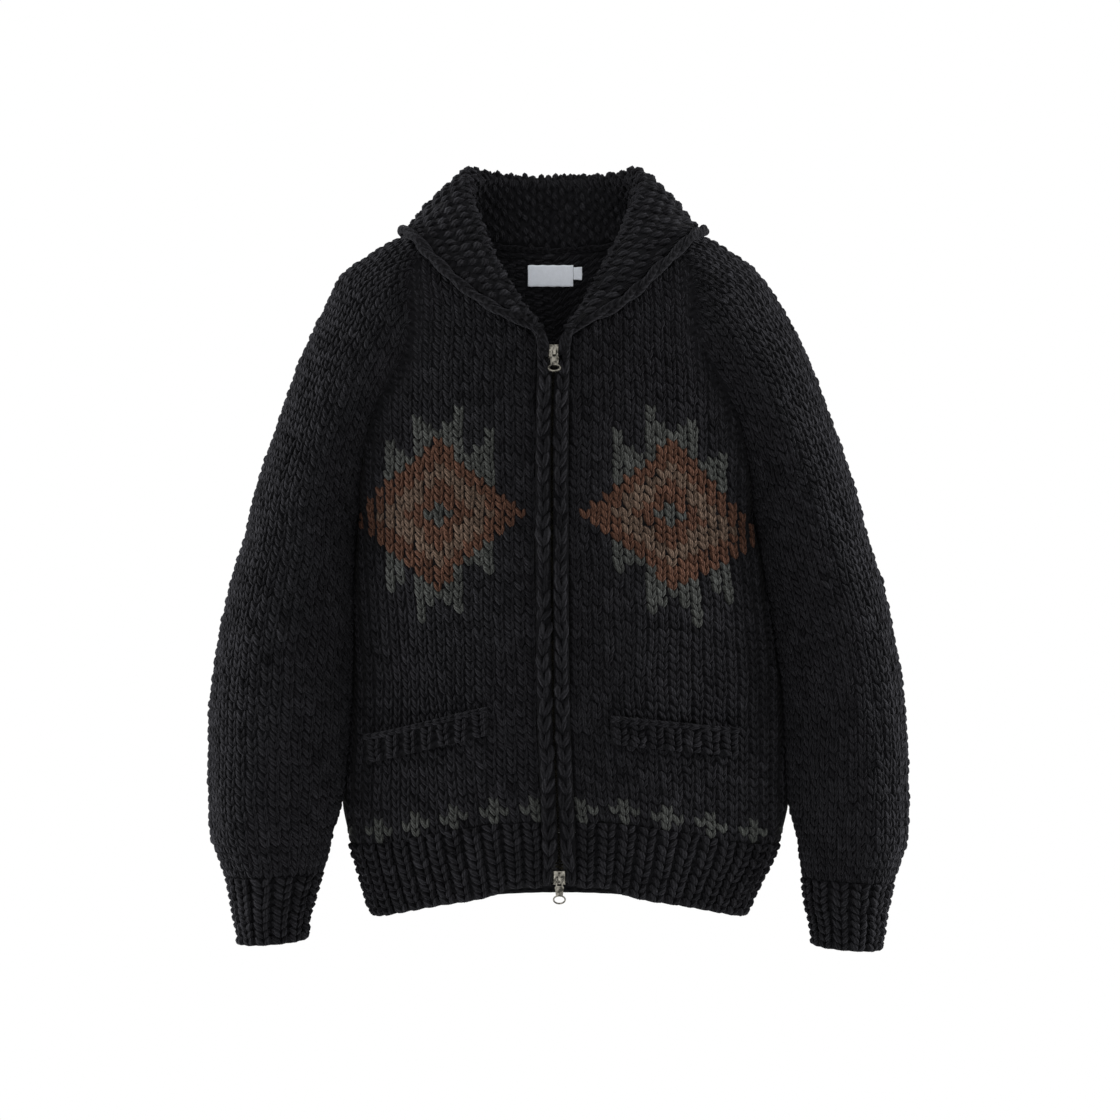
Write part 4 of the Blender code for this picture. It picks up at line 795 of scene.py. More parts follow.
YARNS = ("yarn_black", "yarn_rust", "yarn_tan", "yarn_grey")
BLACK, RUST, TAN, GREY = range(len(YARNS))


# ---------------------------------------------------------------- surfaces to knit on
class Field:
    """A surface read by two lengths: `us` along its rows, `vs` from row to row."""

    def __init__(self, us, vs, points, normals):
        self.us, self.vs = np.asarray(us, float), np.asarray(vs, float)
        self.points, self.normals = points, unit(normals)

    def read(self, u, v):
        i = np.interp(v, self.vs, np.arange(len(self.vs)))
        j = np.interp(u, self.us, np.arange(len(self.us)))
        i0 = np.minimum(i.astype(int), len(self.vs) - 2)
        j0 = np.minimum(j.astype(int), len(self.us) - 2)
        a, b = (i - i0)[..., None], (j - j0)[..., None]
        both = []
        for table in (self.points, self.normals):
            upper = table[i0, j0] * (1 - b) + table[i0, j0 + 1] * b
            lower = table[i0 + 1, j0] * (1 - b) + table[i0 + 1, j0 + 1] * b
            both.append(upper * (1 - a) + lower * a)
        return both[0], unit(both[1])


def field_by_length(levels, rows, normals, starts):
    """A field whose rows are read by length along the cloth; gives each row's limits too."""
    runs = run_along(rows, axis=1) + np.asarray(starts)[:, None]
    low, high = runs[:, 0], runs[:, -1]
    before = rows[:, :1] + unit(rows[:, :1] - rows[:, 2:3]) * LAP
    after = rows[:, -1:] + unit(rows[:, -1:] - rows[:, -3:-2]) * LAP
    rows = np.concatenate((before, rows, after), axis=1)
    normals = np.concatenate((normals[:, :1], normals, normals[:, -1:]), axis=1)
    runs = np.concatenate((runs[:, :1] - LAP, runs, runs[:, -1:] + LAP), axis=1)
    us = np.arange(runs.min() - FIELD_STEP, runs.max() + 2 * FIELD_STEP, FIELD_STEP)
    tables = [np.stack([read_line(us, run, row) for run, row in zip(runs, table)])
              for table in (rows, normals)]
    field = Field(us, levels, *tables)
    field.low, field.high = low, high
    return field


def press(field, creases, flip=1.0, level=False):
    """A copy of a field with soft troughs pressed in; a trough of less than no depth is a ridge.

    A crease is a table of (v, u, width, depth) rows down the cloth, and depth fades past its ends.
    A level one is pressed straight to the back or front, so that the seam beside it stays shut.
    """
    u, v = np.meshgrid(field.us, field.vs)
    sink = np.zeros(u.shape)
    for crease in creases:
        table = np.array(crease, float)
        middle, width, depth = (np.interp(field.vs, table[:, 0], table[:, k])[:, None]
                                for k in (1, 2, 3))
        beyond = np.maximum(table[0, 0] - v, v - table[-1, 0]) / CREASE_FADE
        fade = np.clip(1.0 - beyond, 0.0, 1.0)
        trough = np.exp(-((u * flip - middle) / width) ** 2)
        sink += depth * trough * fade * fade * (3 - 2 * fade)
    towards = field.normals * (0.0, 1.0, 0.0) if level else field.normals
    pressed = Field(field.us, field.vs, field.points - towards * sink[..., None], field.normals)
    for name in ("low", "high", "stations", "length"):
        if hasattr(field, name):
            setattr(pressed, name, getattr(field, name))
    return pressed


def limits(field, v):
    """Where the cloth's rows begin and end at these levels."""
    return np.interp(v, field.vs, field.low), np.interp(v, field.vs, field.high)


def torso_field(face):
    """The front's or the back's left half, by length from the middle and by depth below the neck."""
    end = 0 if face == "front" else -1
    seam = sleeve_grid(np.linspace(0.0, ARMPIT_STATION, SEAM_STATIONS), 0)[::-1, end]
    side = -1.0 if face == "front" else 1.0
    top = seam[-1, 2]
    levels = np.arange(-top, -HEM[-1][1] + 2 * LEVEL_STEP, LEVEL_STEP)
    spread = np.sin(np.linspace(0.0, math.pi / 2, TORSO_POINTS))
    rows = []
    for level in levels:
        z = -level
        if z > ARMPIT_Z:
            edge = float(np.interp(z, seam[:, 2], seam[:, 0]))
            depth = side * float(np.interp(z, seam[:, 2], seam[:, 1]))
        else:
            edge, depth = float(TORSO_AT["half_width"](z)), side_depth(face)
        x = edge * spread
        y = side * torso_depth(x, z, edge, depth, face)
        row = np.stack([x, y, np.full_like(x, z)], axis=1)
        if face == "back":
            row[:, 2] -= back_dip(z, top) * (1.0 - (x / edge) ** 2)
        rows.append(row)
    rows = np.array(rows)
    normals = grid_normals(rows, from_axis(rows))
    return field_by_length(levels, rows, normals, np.zeros(len(rows)))


def back_dip(z, top):
    """How far the back's rows hang down in the middle, below the neckline."""
    heights = BACK_RAGLAN[:BACK_DIP_ROWS + 1, 2][::-1]
    shares = np.linspace(0.0, 1.0, BACK_DIP_ROWS + 1)
    return (top - BACK_NECK) * float(np.interp(z, heights, shares))


def sleeve_field(side):
    """A sleeve, by length from its ridge (front negative) and by distance down from the neck."""
    stations = np.linspace(0.0, LAST_STATION, SLEEVE_STATIONS)
    shares = np.linspace(0.0, 1.0, SLEEVE_POINTS)
    rows, starts, ridge, front = [], [], [], []
    for station in stations:
        row = sleeve_row(station, shares, side)
        tilt = math.radians(float(SLEEVE_AT["tilt"](station)))
        reach = row @ np.array([math.cos(tilt), 0.0, math.sin(tilt)])
        k = int(np.clip(np.argmax(reach), 1, len(row) - 2))
        bend = reach[k - 1] - 2 * reach[k] + reach[k + 1]
        peak = k + 0.5 * (reach[k - 1] - reach[k + 1]) / bend
        if station > ARMPIT_STATION:
            row = clear_of_torso(row)
        starts.append(-np.interp(peak, np.arange(len(row)), run_along(row)))
        rows.append(row)
        ridge.append(row[k])
        front.append(row[np.argmin(row[:, 1])])
    rows = np.array(rows)
    closed = stations >= ARMPIT_STATION
    normals = grid_normals(rows, unit(rows - rows.mean(axis=1, keepdims=True)), closed)
    levels = (run_along(np.array(ridge)) + run_along(np.array(front))) / 2
    field = field_by_length(levels, rows, normals, starts)
    field.stations = stations
    return field


# ---------------------------------------------------------------- meshes
def new_object(name, points, faces, materials, uvs=None, tones=None, picks=None):
    """A smooth-shaded mesh object from arrays; the lean of the garment is added here."""
    points = np.array(points, float)
    points[:, 0] += sideways(points)
    faces = np.asarray(faces, np.int32)
    mesh = bpy.data.meshes.new(name)
    mesh.vertices.add(len(points))
    mesh.vertices.foreach_set("co", (points * MM).astype(np.float32).ravel())
    mesh.loops.add(faces.size)
    mesh.loops.foreach_set("vertex_index", faces.ravel())
    mesh.polygons.add(len(faces))
    mesh.polygons.foreach_set("loop_start", np.arange(len(faces), dtype=np.int32) * faces.shape[1])
    if picks is not None:
        mesh.polygons.foreach_set("material_index", np.asarray(picks, np.int32))
    mesh.update(calc_edges=True)
    mesh.shade_smooth()
    if uvs is not None:
        layer = mesh.uv_layers.new(name="yarn")
        layer.data.foreach_set("uv", np.asarray(uvs, np.float32)[faces.ravel()].ravel())
    if tones is not None:
        tone = mesh.attributes.new("tone", "FLOAT", "POINT")
        tone.data.foreach_set("value", np.asarray(tones, np.float32))
    for material in materials:
        mesh.materials.append(bpy.data.materials[material])
    item = bpy.data.objects.new(name, mesh)
    bpy.context.scene.collection.objects.link(item)
    return item


UV_LENGTH = 100.0         # millimetres of cloth for one unit of a shell's UV map


def shell(name, grid, normals, near, far, material, closed):
    """A thin wall of cloth: a grid of points moved in by `near` and by `far`, with its rims."""
    size = grid.shape[:2]
    layers = [grid - normals * np.broadcast_to(depth, size)[..., None] for depth in (near, far)]
    points = np.concatenate([layer.reshape(-1, 3) for layer in layers])
    count = size[0] * size[1]
    index = np.arange(count).reshape(size)
    if closed:
        index = np.concatenate((index, index[:, :1]), axis=1)
    front = cells(index)[:, [0, 3, 2, 1]]
    faces = [front, front[:, ::-1] + count]
    rims = [index[0], index[-1][::-1]]
    if not closed:
        rims += [index[::-1, 0], index[:, -1]]
    for rim in rims:
        faces.append(np.stack([rim[:-1], rim[1:], rim[1:] + count, rim[:-1] + count], axis=-1))
    faces = np.concatenate(faces)
    first = faces[0]
    edge_a = points[first[1]] - points[first[0]]
    edge_b = points[first[2]] - points[first[1]]
    if np.dot(np.cross(edge_a, edge_b), normals.reshape(-1, 3)[first[0]]) < 0:
        faces = faces[:, ::-1]
    runs, falls = run_along(grid, axis=1), run_along(grid, axis=0)
    uvs = np.stack([runs - runs.mean(axis=1, keepdims=True), falls], axis=-1) / UV_LENGTH
    return new_object(name, points, faces, [material], uvs=np.concatenate([uvs.reshape(-1, 2)] * 2))


def cloth(name, node_name, grid, normals, near, far=SHELL_BACK, side=1, closed=False,
          material="wool_ground"):
    """A shell that stands for the solid of its node, turned over in X for the wearer's right."""
    piece = shell(name, mirrored(grid, side), mirrored(normals, side), near, far, material, closed)
    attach(piece, "garment")
    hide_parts(node_name)
    return piece


def leg(start, end, half_width, height, swell=(0.62, 1.0, 1.0, 0.62), rise=(0.35, 1.0, 0.95, 0.25),
        bow=0.0):
    """One leg of a stitch: a low round bar from start to end. Points are (u, v, out)."""
    start, end = np.array(start, float), np.array(end, float)
    way = end - start
    aside = np.array([way[1], -way[0]]) / np.linalg.norm(way)
    if aside[0] < 0:
        aside = -aside
    around = np.linspace(math.pi, 0.0, 5)
    points, uvs = [], []
    for k, share in enumerate(np.linspace(0.0, 1.0, len(swell))):
        middle = start + way * share + aside * bow * math.sin(math.pi * share)
        for a in around:
            spot = middle + aside * half_width * swell[k] * math.cos(a)
            out = height * (rise[k] - 1.0) + height * math.sin(a)
            points.append((spot[0], spot[1], out))
            uvs.append((1.0 - a / math.pi, share))
    count = len(around)
    faces = [(k * count + j, (k + 1) * count + j, (k + 1) * count + j + 1, k * count + j + 1)
             for k in range(len(swell) - 1) for j in range(count - 1)]
    return np.array(points), np.array(faces), np.array(uvs)


def template(*legs):
    """Several legs as one stitch."""
    points, faces, uvs, first = [], [], [], 0
    for number, (p, f, t) in enumerate(legs):
        points.append(p)
        faces.append(f + first)
        uvs.append(t + (2.0 * number, 0.0))
        first += len(p)
    return np.concatenate(points), np.concatenate(faces), np.concatenate(uvs)


PROBE = 2.0               # the field's directions are read over this much to each side


def skewness(field, u, v, lean):
    """How far a step across a stitch must also go along its column to be square to that column."""
    across, down = (field.read(u + du, v + dv)[0] - field.read(u - du, v - dv)[0]
                    for du, dv in ((PROBE, 0.0), (0.0, PROBE)))
    column = down + across * np.broadcast_to(lean, u.shape)[:, None]
    return -np.clip((across * column).sum(axis=1) / (column * column).sum(axis=1), -1.0, 1.0)


def knit(field, stitch, u, v, picks, seed, flip=1.0, lift=0.0, scale=(1.0, 1.0), jitter=1.0,
         shear=0.0, lean=0.0, square=False, outward=1.0):
    """Lay one stitch at each place (u, v) of a field and join them in one mesh.

    `shear` slants a stitch along its row, and `lean` slants it with its column. A `square` stitch
    stands at right angles to its column where the field's rows don't.
    """
    points, faces, uvs = stitch
    dice = np.random.default_rng(seed)
    count = len(u)
    size = 1.0 + dice.normal(0.0, SIZE_SPREAD * jitter, (count, 2))
    shift = dice.normal(0.0, PLACE_SPREAD * jitter, (count, 2))
    angle = np.radians(dice.normal(0.0, ANGLE_SPREAD * jitter, count))
    height = 1.0 + dice.normal(0.0, HEIGHT_SPREAD * jitter, count)
    du = points[:, 0] * np.broadcast_to(scale[0], count)[:, None] * size[:, :1]
    dv = points[:, 1] * np.broadcast_to(scale[1], count)[:, None] * size[:, 1:]
    cos, sin = np.cos(angle)[:, None], np.sin(angle)[:, None]
    step_u, step_v = du * cos - dv * sin, du * sin + dv * cos
    if square:
        skew = skewness(field, u, v, lean)[:, None]
        step_v = step_v + step_u * skew
    place_u = u[:, None] + shift[:, :1] + step_u + step_v * np.broadcast_to(lean, count)[:, None]
    place_v = v[:, None] + shift[:, 1:] + step_v + step_u * np.broadcast_to(shear, count)[:, None]
    spots, normals = field.read(place_u, place_v)
    out = (points[:, 2] * height[:, None] - STITCH_SINK + lift)[..., None]
    spots = spots + normals * out * outward
    spots = spots.reshape(-1, 3) * (flip, 1.0, 1.0)
    all_faces = (faces[None] + (np.arange(count) * len(points))[:, None, None]).reshape(-1, 4)
    if flip * outward < 0:
        all_faces = all_faces[:, ::-1]
    tones = dice.normal(0.0, 1.0, count)
    return {"points": spots, "faces": all_faces, "uvs": np.tile(uvs, (count, 1)),
            "tones": np.repeat(tones, len(points)),
            "picks": np.repeat(np.broadcast_to(picks, count), len(faces))}


def joined(name, parts):
    """Several batches of stitches as one object that rides on the garment."""
    first, faces = 0, []
    for part in parts:
        faces.append(part["faces"] + first)
        first += len(part["points"])
    points, uvs, tones, picks = (np.concatenate([part[key] for part in parts])
                                 for key in ("points", "uvs", "tones", "picks"))
    item = new_object(name, points, np.concatenate(faces), YARNS, uvs=uvs, tones=tones, picks=picks)
    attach(item, "garment")
    return item


# ---------------------------------------------------------------- stitches
LEG_RISE = (0.55, 0.95, 1.0, 0.5)
KNIT_STITCH = template(
    leg((-4.4, -1.6), (1.3, 8.9), 3.1, 3.9, bow=0.5, rise=LEG_RISE),
    leg((4.5, -1.4), (2.9, 8.9), 2.35, 3.4, bow=0.3, rise=LEG_RISE),
)
MIRROR_STITCH = template(
    leg((4.4, -1.6), (-1.3, 8.9), 3.1, 3.9, bow=-0.5, rise=LEG_RISE),
    leg((-4.5, -1.4), (-2.9, 8.9), 2.35, 3.4, bow=-0.3, rise=LEG_RISE),
)
PURL_STITCH = template(
    leg((-6.4, 1.4), (6.4, -1.4), 2.9, 3.4, swell=(0.5, 1.0, 1.0, 0.5), rise=(0.2, 0.9, 1.0, 0.3)),
)
RIB_STITCH = template(
    leg((-6.8, -1.6), (0.6, 8.4), 3.4, 4.4, bow=0.5),
    leg((7.0, -1.6), (2.6, 8.4), 3.1, 4.1, bow=0.4),
)
RIB_MIRROR = template(
    leg((6.8, -1.6), (-0.6, 8.4), 3.4, 4.4, bow=-0.5),
    leg((-7.0, -1.6), (-2.6, 8.4), 3.1, 4.1, bow=-0.4),
)
SEED_STITCH = template(
    leg((-6.8, 1.2), (6.8, -1.2), 3.5, 3.6, swell=(0.35, 1.0, 1.0, 0.35), rise=(0.2, 1.0, 1.0, 0.2)),
)
STAND_BUMP = template(
    leg((-5.4, 0.9), (5.4, -0.9), 3.0, 5.0, swell=(0.25, 1.0, 1.0, 0.25), rise=(0.1, 1.0, 1.0, 0.1)),
)
CHAIN_LINK = template(
    leg((-4.6, -8.0), (0.8, 12.0), 3.2, 5.0, rise=(0.4, 1.0, 0.85, 0.1), swell=(0.5, 1.0, 1.0, 0.5)),
    leg((4.8, -8.0), (1.6, 12.0), 3.0, 4.8, rise=(0.4, 1.0, 0.85, 0.1), swell=(0.5, 1.0, 1.0, 0.5)),
)
BIND_LINK = template(
    leg((-6.0, -2.9), (6.6, 0.2), 2.6, 3.6),
    leg((-6.0, 2.9), (6.6, 0.6), 2.6, 3.6),
)


def chart(column, row):
    """Yarn of the fronts' stitches, by column from the zip's cord and by row up from the rib."""
    inward = MOTIF_COLUMN - column
    above = row - MOTIF_ROW
    across, up = np.abs(inward), np.abs(above)
    yarn = np.full(column.shape, BLACK)
    for ray in RAYS:
        spec = dict(zip(RAY_COLUMNS, ray))
        in_reach = (above <= spec["up"]) & (above >= -spec["down"]) & (up > 2)
        yarn[(inward == spec["inward"]) & in_reach] = GREY
    half = np.where(inward > 0, DIAMOND_INNER, DIAMOND_OUTER)
    spread = across / half + up / DIAMOND_ROWS
    yarn[(spread <= 1.0) & (across <= DIAMOND_LIMIT)] = RUST
    yarn[spread <= DIAMOND_BORDER] = TAN
    yarn[across / RING_COLUMNS + up / RING_ROWS <= 1.0] = RUST
    yarn[(across == 0) & (up <= 1) | (across == 1) & (up == 0)] = GREY
    return np.where(row <= CROSS_TOP, small_crosses(column, row), yarn)


def small_crosses(column, row):
    """A band of small crosses just above the rib."""
    across = column % CROSS_COLUMNS
    across = np.minimum(across, CROSS_COLUMNS - across)
    middle_row = CROSS_TOP // 2
    return np.where((across == 0) & (row <= CROSS_TOP) | (across == 1) & (row == middle_row), GREY, BLACK)


# ---------------------------------------------------------------- materials
def new_material(name):
    """A new material, with its node tree and its shader."""
    material = bpy.data.materials.new(name)
    material.use_nodes = True
    tree = material.node_tree
    return material, tree, tree.nodes["Principled BSDF"]


def node(tree, kind, **settings):
    """A new node with these properties."""
    made = tree.nodes.new(kind)
    for key, value in settings.items():
        setattr(made, key, value)
    return made


def maths(tree, operation, first, second=None, third=None):
    """One step of arithmetic on numbers or on other nodes' outputs."""
    made = node(tree, "ShaderNodeMath", operation=operation)
    for socket, value in zip(made.inputs, (first, second, third)):
        if value is None:
            continue
        if isinstance(value, (int, float)):
            socket.default_value = value
        else:
            tree.links.new(value, socket)
    return made.outputs[0]


def set_inputs(made, values):
    """Give inputs of a node their values, by name."""
    for name, value in values.items():
        made.inputs[name].default_value = value


def noise(tree, scale, detail=2.0, roughness=0.5):
    """Random variation through the object, with about `scale` waves to a metre."""
    made = node(tree, "ShaderNodeTexNoise")
    set_inputs(made, {"Scale": scale, "Detail": detail, "Roughness": roughness})
    tree.links.new(node(tree, "ShaderNodeTexCoord").outputs["Object"], made.inputs["Vector"])
    return made.outputs["Fac"]


def split(tree, vector):
    """The X, Y and Z of a vector."""
    parts = node(tree, "ShaderNodeSeparateXYZ")
    tree.links.new(vector, parts.inputs[0])
    return parts.outputs


def add_bump(tree, shader, height, strength, distance):
    """Relief of the shaded surface; the distance is in metres."""
    bump = node(tree, "ShaderNodeBump")
    set_inputs(bump, {"Strength": strength, "Distance": distance})
    tree.links.new(height, bump.inputs["Height"])
    tree.links.new(bump.outputs[0], shader.inputs["Normal"])


def shade(tree, colour, amount):
    """A colour made lighter or darker by a factor that varies over the surface."""
    mix = node(tree, "ShaderNodeMix", data_type="RGBA", blend_type="MULTIPLY")
    mix.inputs[0].default_value = 1.0
    mix.inputs[6].default_value = (*colour, 1.0)
    grey = node(tree, "ShaderNodeCombineColor")
    for k in range(3):
        tree.links.new(amount, grey.inputs[k])
    tree.links.new(grey.outputs[0], mix.inputs[7])
    return mix.outputs[2]


def blended(tree, share, first, second):
    """A mix of two colours, each a tuple or another node's output."""
    mix = node(tree, "ShaderNodeMix", data_type="RGBA")
    tree.links.new(share, mix.inputs[0])
    for socket, value in ((6, first), (7, second)):
        if isinstance(value, tuple):
            mix.inputs[socket].default_value = (*value, 1.0)
        else:
            tree.links.new(value, mix.inputs[socket])
    return mix.outputs[2]


# name: colour, colour of the stray fibres, share of them, spread between stitches
YARN_LOOKS = {
    "yarn_black": ((0.0106, 0.0106, 0.0120), (0.045, 0.043, 0.042), 0.10, 0.16),
    "yarn_rust": ((0.0600, 0.0300, 0.0200), (0.14, 0.085, 0.065), 0.16, 0.10),
    "yarn_tan": ((0.0745, 0.0515, 0.0380), (0.18, 0.135, 0.11), 0.22, 0.10),
    "yarn_grey": ((0.0385, 0.0405, 0.0380), (0.13, 0.135, 0.125), 0.30, 0.12),
}


def make_yarn(name, colour, fibre, share, spread):
    """Plied wool: strands that wind round each leg of a stitch, with stray fibres, a soft sheen and painted
    shade.
    """
    _, tree, shader = new_material(name)
    parts = split(tree, node(tree, "ShaderNodeUVMap", uv_map="yarn").outputs[0])
    across, down = maths(tree, "FRACT", parts[0]), parts[1]
    wander = noise(tree, 260.0, 1.0)
    # The strands' wave gives the bump's height and also painted shade: the colour is darker in the grooves
    # between the strands.
    turns = maths(tree, "MULTIPLY_ADD", across, 3.1, maths(tree, "MULTIPLY", down, 1.3))
    turns = maths(tree, "MULTIPLY_ADD", wander, 0.8, turns)
    wave = maths(tree, "SINE", maths(tree, "MULTIPLY", turns, 2 * math.pi))
    strand = maths(tree, "MULTIPLY_ADD", wave, 0.5, 0.5)
    # Painted shade: the colour darkens from the crown of each leg towards its sides, where the leg turns
    # under. The stray fibres keep to the crown.
    crown_shade = maths(tree, "MULTIPLY", across, maths(tree, "SUBTRACT", 1.0, across))
    crown_shade = maths(tree, "POWER", maths(tree, "MULTIPLY", crown_shade, 4.0), 1.1)
    hair = noise(tree, 1500.0, 3.0, roughness=0.7)
    tone = node(tree, "ShaderNodeAttribute", attribute_name="tone").outputs["Fac"]
    # The colour's factor: painted shade from the strands and from each leg's crown, times random mottling,
    # the stitch's own tone and a broad wander.
    light = maths(tree, "MULTIPLY_ADD", strand, 0.52, 0.44)
    for factor, gain, base in ((crown_shade, 1.15, 0.08), (noise(tree, 700.0), 1.6, 0.2), (tone, spread, 1.0),
                               (noise(tree, 22.0), 0.5, 0.78)):
        light = maths(tree, "MULTIPLY", light, maths(tree, "MULTIPLY_ADD", factor, gain, base))
    body = shade(tree, colour, maths(tree, "MAXIMUM", light, 0.10))
    stray = maths(tree, "MULTIPLY", maths(tree, "GREATER_THAN", hair, 0.60), share)
    stray = maths(tree, "MULTIPLY", stray, crown_shade)
    tree.links.new(blended(tree, stray, body, fibre), shader.inputs["Base Color"])
    height = maths(tree, "MULTIPLY_ADD", hair, 0.35, maths(tree, "MULTIPLY", strand, 0.7))
    add_bump(tree, shader, height, 0.9, 0.0012)
    set_inputs(shader, {"Roughness": 0.95, "Specular IOR Level": 0.02, "Sheen Weight": 0.02,
                        "Sheen Roughness": 0.4, "Sheen Tint": (0.8, 0.8, 0.9, 1.0)})


def make_ground(name, colour):
    """The cloth between and behind the stitches: rows of small purl bumps by length over the cloth, with
    painted shade in their hollows.
    """
    _, tree, shader = new_material(name)
    parts = split(tree, node(tree, "ShaderNodeUVMap", uv_map="yarn").outputs[0])
    turns = UV_LENGTH * 2 * math.pi
    wander = maths(tree, "MULTIPLY", noise(tree, 60.0), 3.0)
    rows = maths(tree, "SINE", maths(tree, "MULTIPLY_ADD", parts[1], turns / ROW, wander))
    columns = maths(tree, "SINE", maths(tree, "MULTIPLY_ADD", parts[0], turns / COLUMN, wander))
    bumps = maths(tree, "MULTIPLY_ADD", maths(tree, "MULTIPLY", rows, columns), 0.25, 0.5)
    ridge = maths(tree, "MULTIPLY_ADD", rows, 0.25, bumps)
    hair = noise(tree, 1300.0, 3.0, roughness=0.7)
    # Painted shade: the colour follows the bumps' relief and is darker in their hollows. The fibre noise is
    # random.
    light = maths(tree, "MULTIPLY_ADD", ridge, 0.8, 0.35)
    light = maths(tree, "MULTIPLY_ADD", hair, 0.3, light)
    tree.links.new(shade(tree, colour, light), shader.inputs["Base Color"])
    add_bump(tree, shader, maths(tree, "MULTIPLY_ADD", hair, 0.25, ridge), 0.9, 0.0018)
    set_inputs(shader, {"Roughness": 0.97, "Specular IOR Level": 0.02, "Sheen Weight": 0.015,
                        "Sheen Roughness": 0.4})


# ---------------------------------------------------------------- pieces of cloth
def bowed(level, x):
    """Rows bow down towards the sides as they near the rib, whose top does."""
    drop = HEM_AT["rib_top"](0.0) - HEM_AT["rib_top"](np.abs(x))
    near = np.clip(1.0 + (level + HEM_AT["rib_top"](0.0)) / HEM_FADE, 0.0, 1.0)
    return level + drop * near * near * (3 - 2 * near)


NECK_CLEAR = 1.004        # the front begins this much outside its neckline, in proportion


def front_start(level):
    """Where the front begins, by length from the middle: at the cord, or at the neckline."""
    z = -np.asarray(level, float)
    return np.where(z > ZIP_TOP, NECKLINE_AT(z) * NECK_CLEAR, CORD_OUTER + SEAM)


def smooth(share):
    """A share from 0 to 1 that starts and ends gently."""
    share = np.clip(share, 0.0, 1.0)
    return share * share * (3 - 2 * share)


SHELL_COLUMNS = 40        # of the shell of a front, and of half the back
UNDERLAP_DEPTH = 3.0      # the body's shell dips this much below its face where it runs under a sleeve
SIDE_SAG = {"left": 24.0, "right": 3.0}       # the rows of a front sag by this much beside the sleeve
SAG_FROM = 110.0          # the sag begins this far from the zip and is whole at twice that ...
SAG_RISE = 180.0          # ... and is whole this high above the rib


def torso_shell(field, face, top, bottom):
    """Grid, normals and depths of the shell of a front or of the back's half."""
    levels = np.linspace(top, bottom, int((bottom - top) / ROW) + 1)
    shares = np.linspace(0.0, 1.0, SHELL_COLUMNS + 1)
    low, high = limits(field, levels)
    if face == "front":
        low = front_start(levels)
    seam = high[:, None]
    high = high + LAP - 0.1
    u = low[:, None] + (high - low)[:, None] * shares
    v = np.repeat(levels[:, None], len(shares), axis=1)
    near = SHELL_FRONT - SHELL_CLOSER * smooth((u - seam + CLOSER_REACH) / CLOSER_REACH)
    near += UNDERLAP_DEPTH * smooth((u - seam) / LAP)
    if face == "front":
        x = field.read(u, v)[0][..., 0]
        v = bowed(v, x)
        v[0] = levels[0]
    return *field.read(u, v), near


# Depth of the valley along the raglan seams, by height.
RAGLAN_VALLEY = ((-330.0, 0.0), (-300.0, 9.0), (-250.0, 13.0), (-190.0, 12.0), (-130.0, 7.0), (-80.0, 2.5),
                 (-30.0, 0.0))
VALLEY_WIDTH = 11.0

# Creases: rows of (distance down, distance across, half width, depth); less than no depth is a ridge.
ZIP_GROOVE = ((104, 19.5, 4.0, 2.6), (240, 19.0, 4.0, 3.2), (400, 19.0, 4.0, 2.4), (560, 19.0, 4.0, 2.6))
FRONT_CREASES = {
    "left": (
        ((478, 57, 4.0, 1.6), (520, 58, 3.5, 1.8), (560, 60, 3.5, 0.8)),
        ((490, 186, 4.5, 1.8), (530, 187, 4.0, 2.2), (572, 188, 4.0, 1.0)),
        ((120, 150, 16.0, 1.6), (190, 158, 18.0, 2.4), (270, 172, 18.0, 1.6)),
        ((330, 92, 15.0, -0.8), (430, 84, 16.0, -1.2)),
        ((400, 150, 14.0, 0.9), (560, 140, 12.0, 1.3)),
    ),
    "right": (
        ((470, 66, 4.0, 1.8), (520, 67, 3.5, 1.8), (566, 68, 3.5, 0.9)),
        ((500, 205, 4.5, 1.2), (565, 204, 4.0, 1.0)),
        ((120, 146, 14.0, 1.2), (200, 156, 16.0, 1.8), (260, 166, 16.0, 1.0)),
        ((340, 86, 14.0, 0.8), (450, 96, 15.0, 1.0)),
    ),
}
BACK_CREASES = (
    ((60, -42, 16.0, 1.6), (200, -52, 20.0, 2.4), (420, -60, 18.0, 1.0)),
    ((90, 70, 15.0, 1.2), (260, 64, 20.0, 2.2), (520, 52, 16.0, 1.2)),
    ((240, -128, 14.0, 1.0), (420, -120, 16.0, 1.8), (600, -112, 12.0, 0.8)),
    ((300, 138, 15.0, 1.8), (560, 128, 14.0, 1.4)),
    ((130, 8, 18.0, -1.0), (330, 2, 20.0, -1.6)),
)
SLEEVE_CREASES = {
    "left": (
        ((190, -78, 10.0, 1.0), (330, -66, 11.0, 1.5), (470, -58, 9.0, 1.2)),
        ((560, -74, 8.0, 1.4), (690, -52, 7.0, 2.0)),
        ((610, -30, 7.0, 1.6), (735, -22, 6.0, 2.0)),
        ((260, 62, 12.0, 1.6), (430, 70, 12.0, 2.0)),
        ((520, 40, 10.0, 1.8), (700, 28, 8.0, 2.2)),
    ),
    "right": (
        ((230, -70, 11.0, 1.3), (400, -80, 10.0, 1.0)),
        ((480, -48, 9.0, 1.0), (640, -62, 8.0, 1.8)),
        ((640, -26, 7.0, 1.8), (740, -36, 6.0, 1.6)),
        ((200, 58, 12.0, 1.2), (380, 64, 13.0, 2.2)),
        ((560, 52, 9.0, 2.0), (720, 38, 8.0, 1.8)),
    ),
}


def valley(field, end):
    """The soft valley along a raglan seam, at one end of a field's rows."""
    heights, depths = zip(*RAGLAN_VALLEY)
    rows = []
    for v in field.vs[::3]:
        edge = float(limits(field, v)[end])
        z = float(field.read(np.array([edge]), np.array([v]))[0][0, 2])
        rows.append((v, edge, VALLEY_WIDTH, float(np.interp(z, heights, depths))))
    return rows


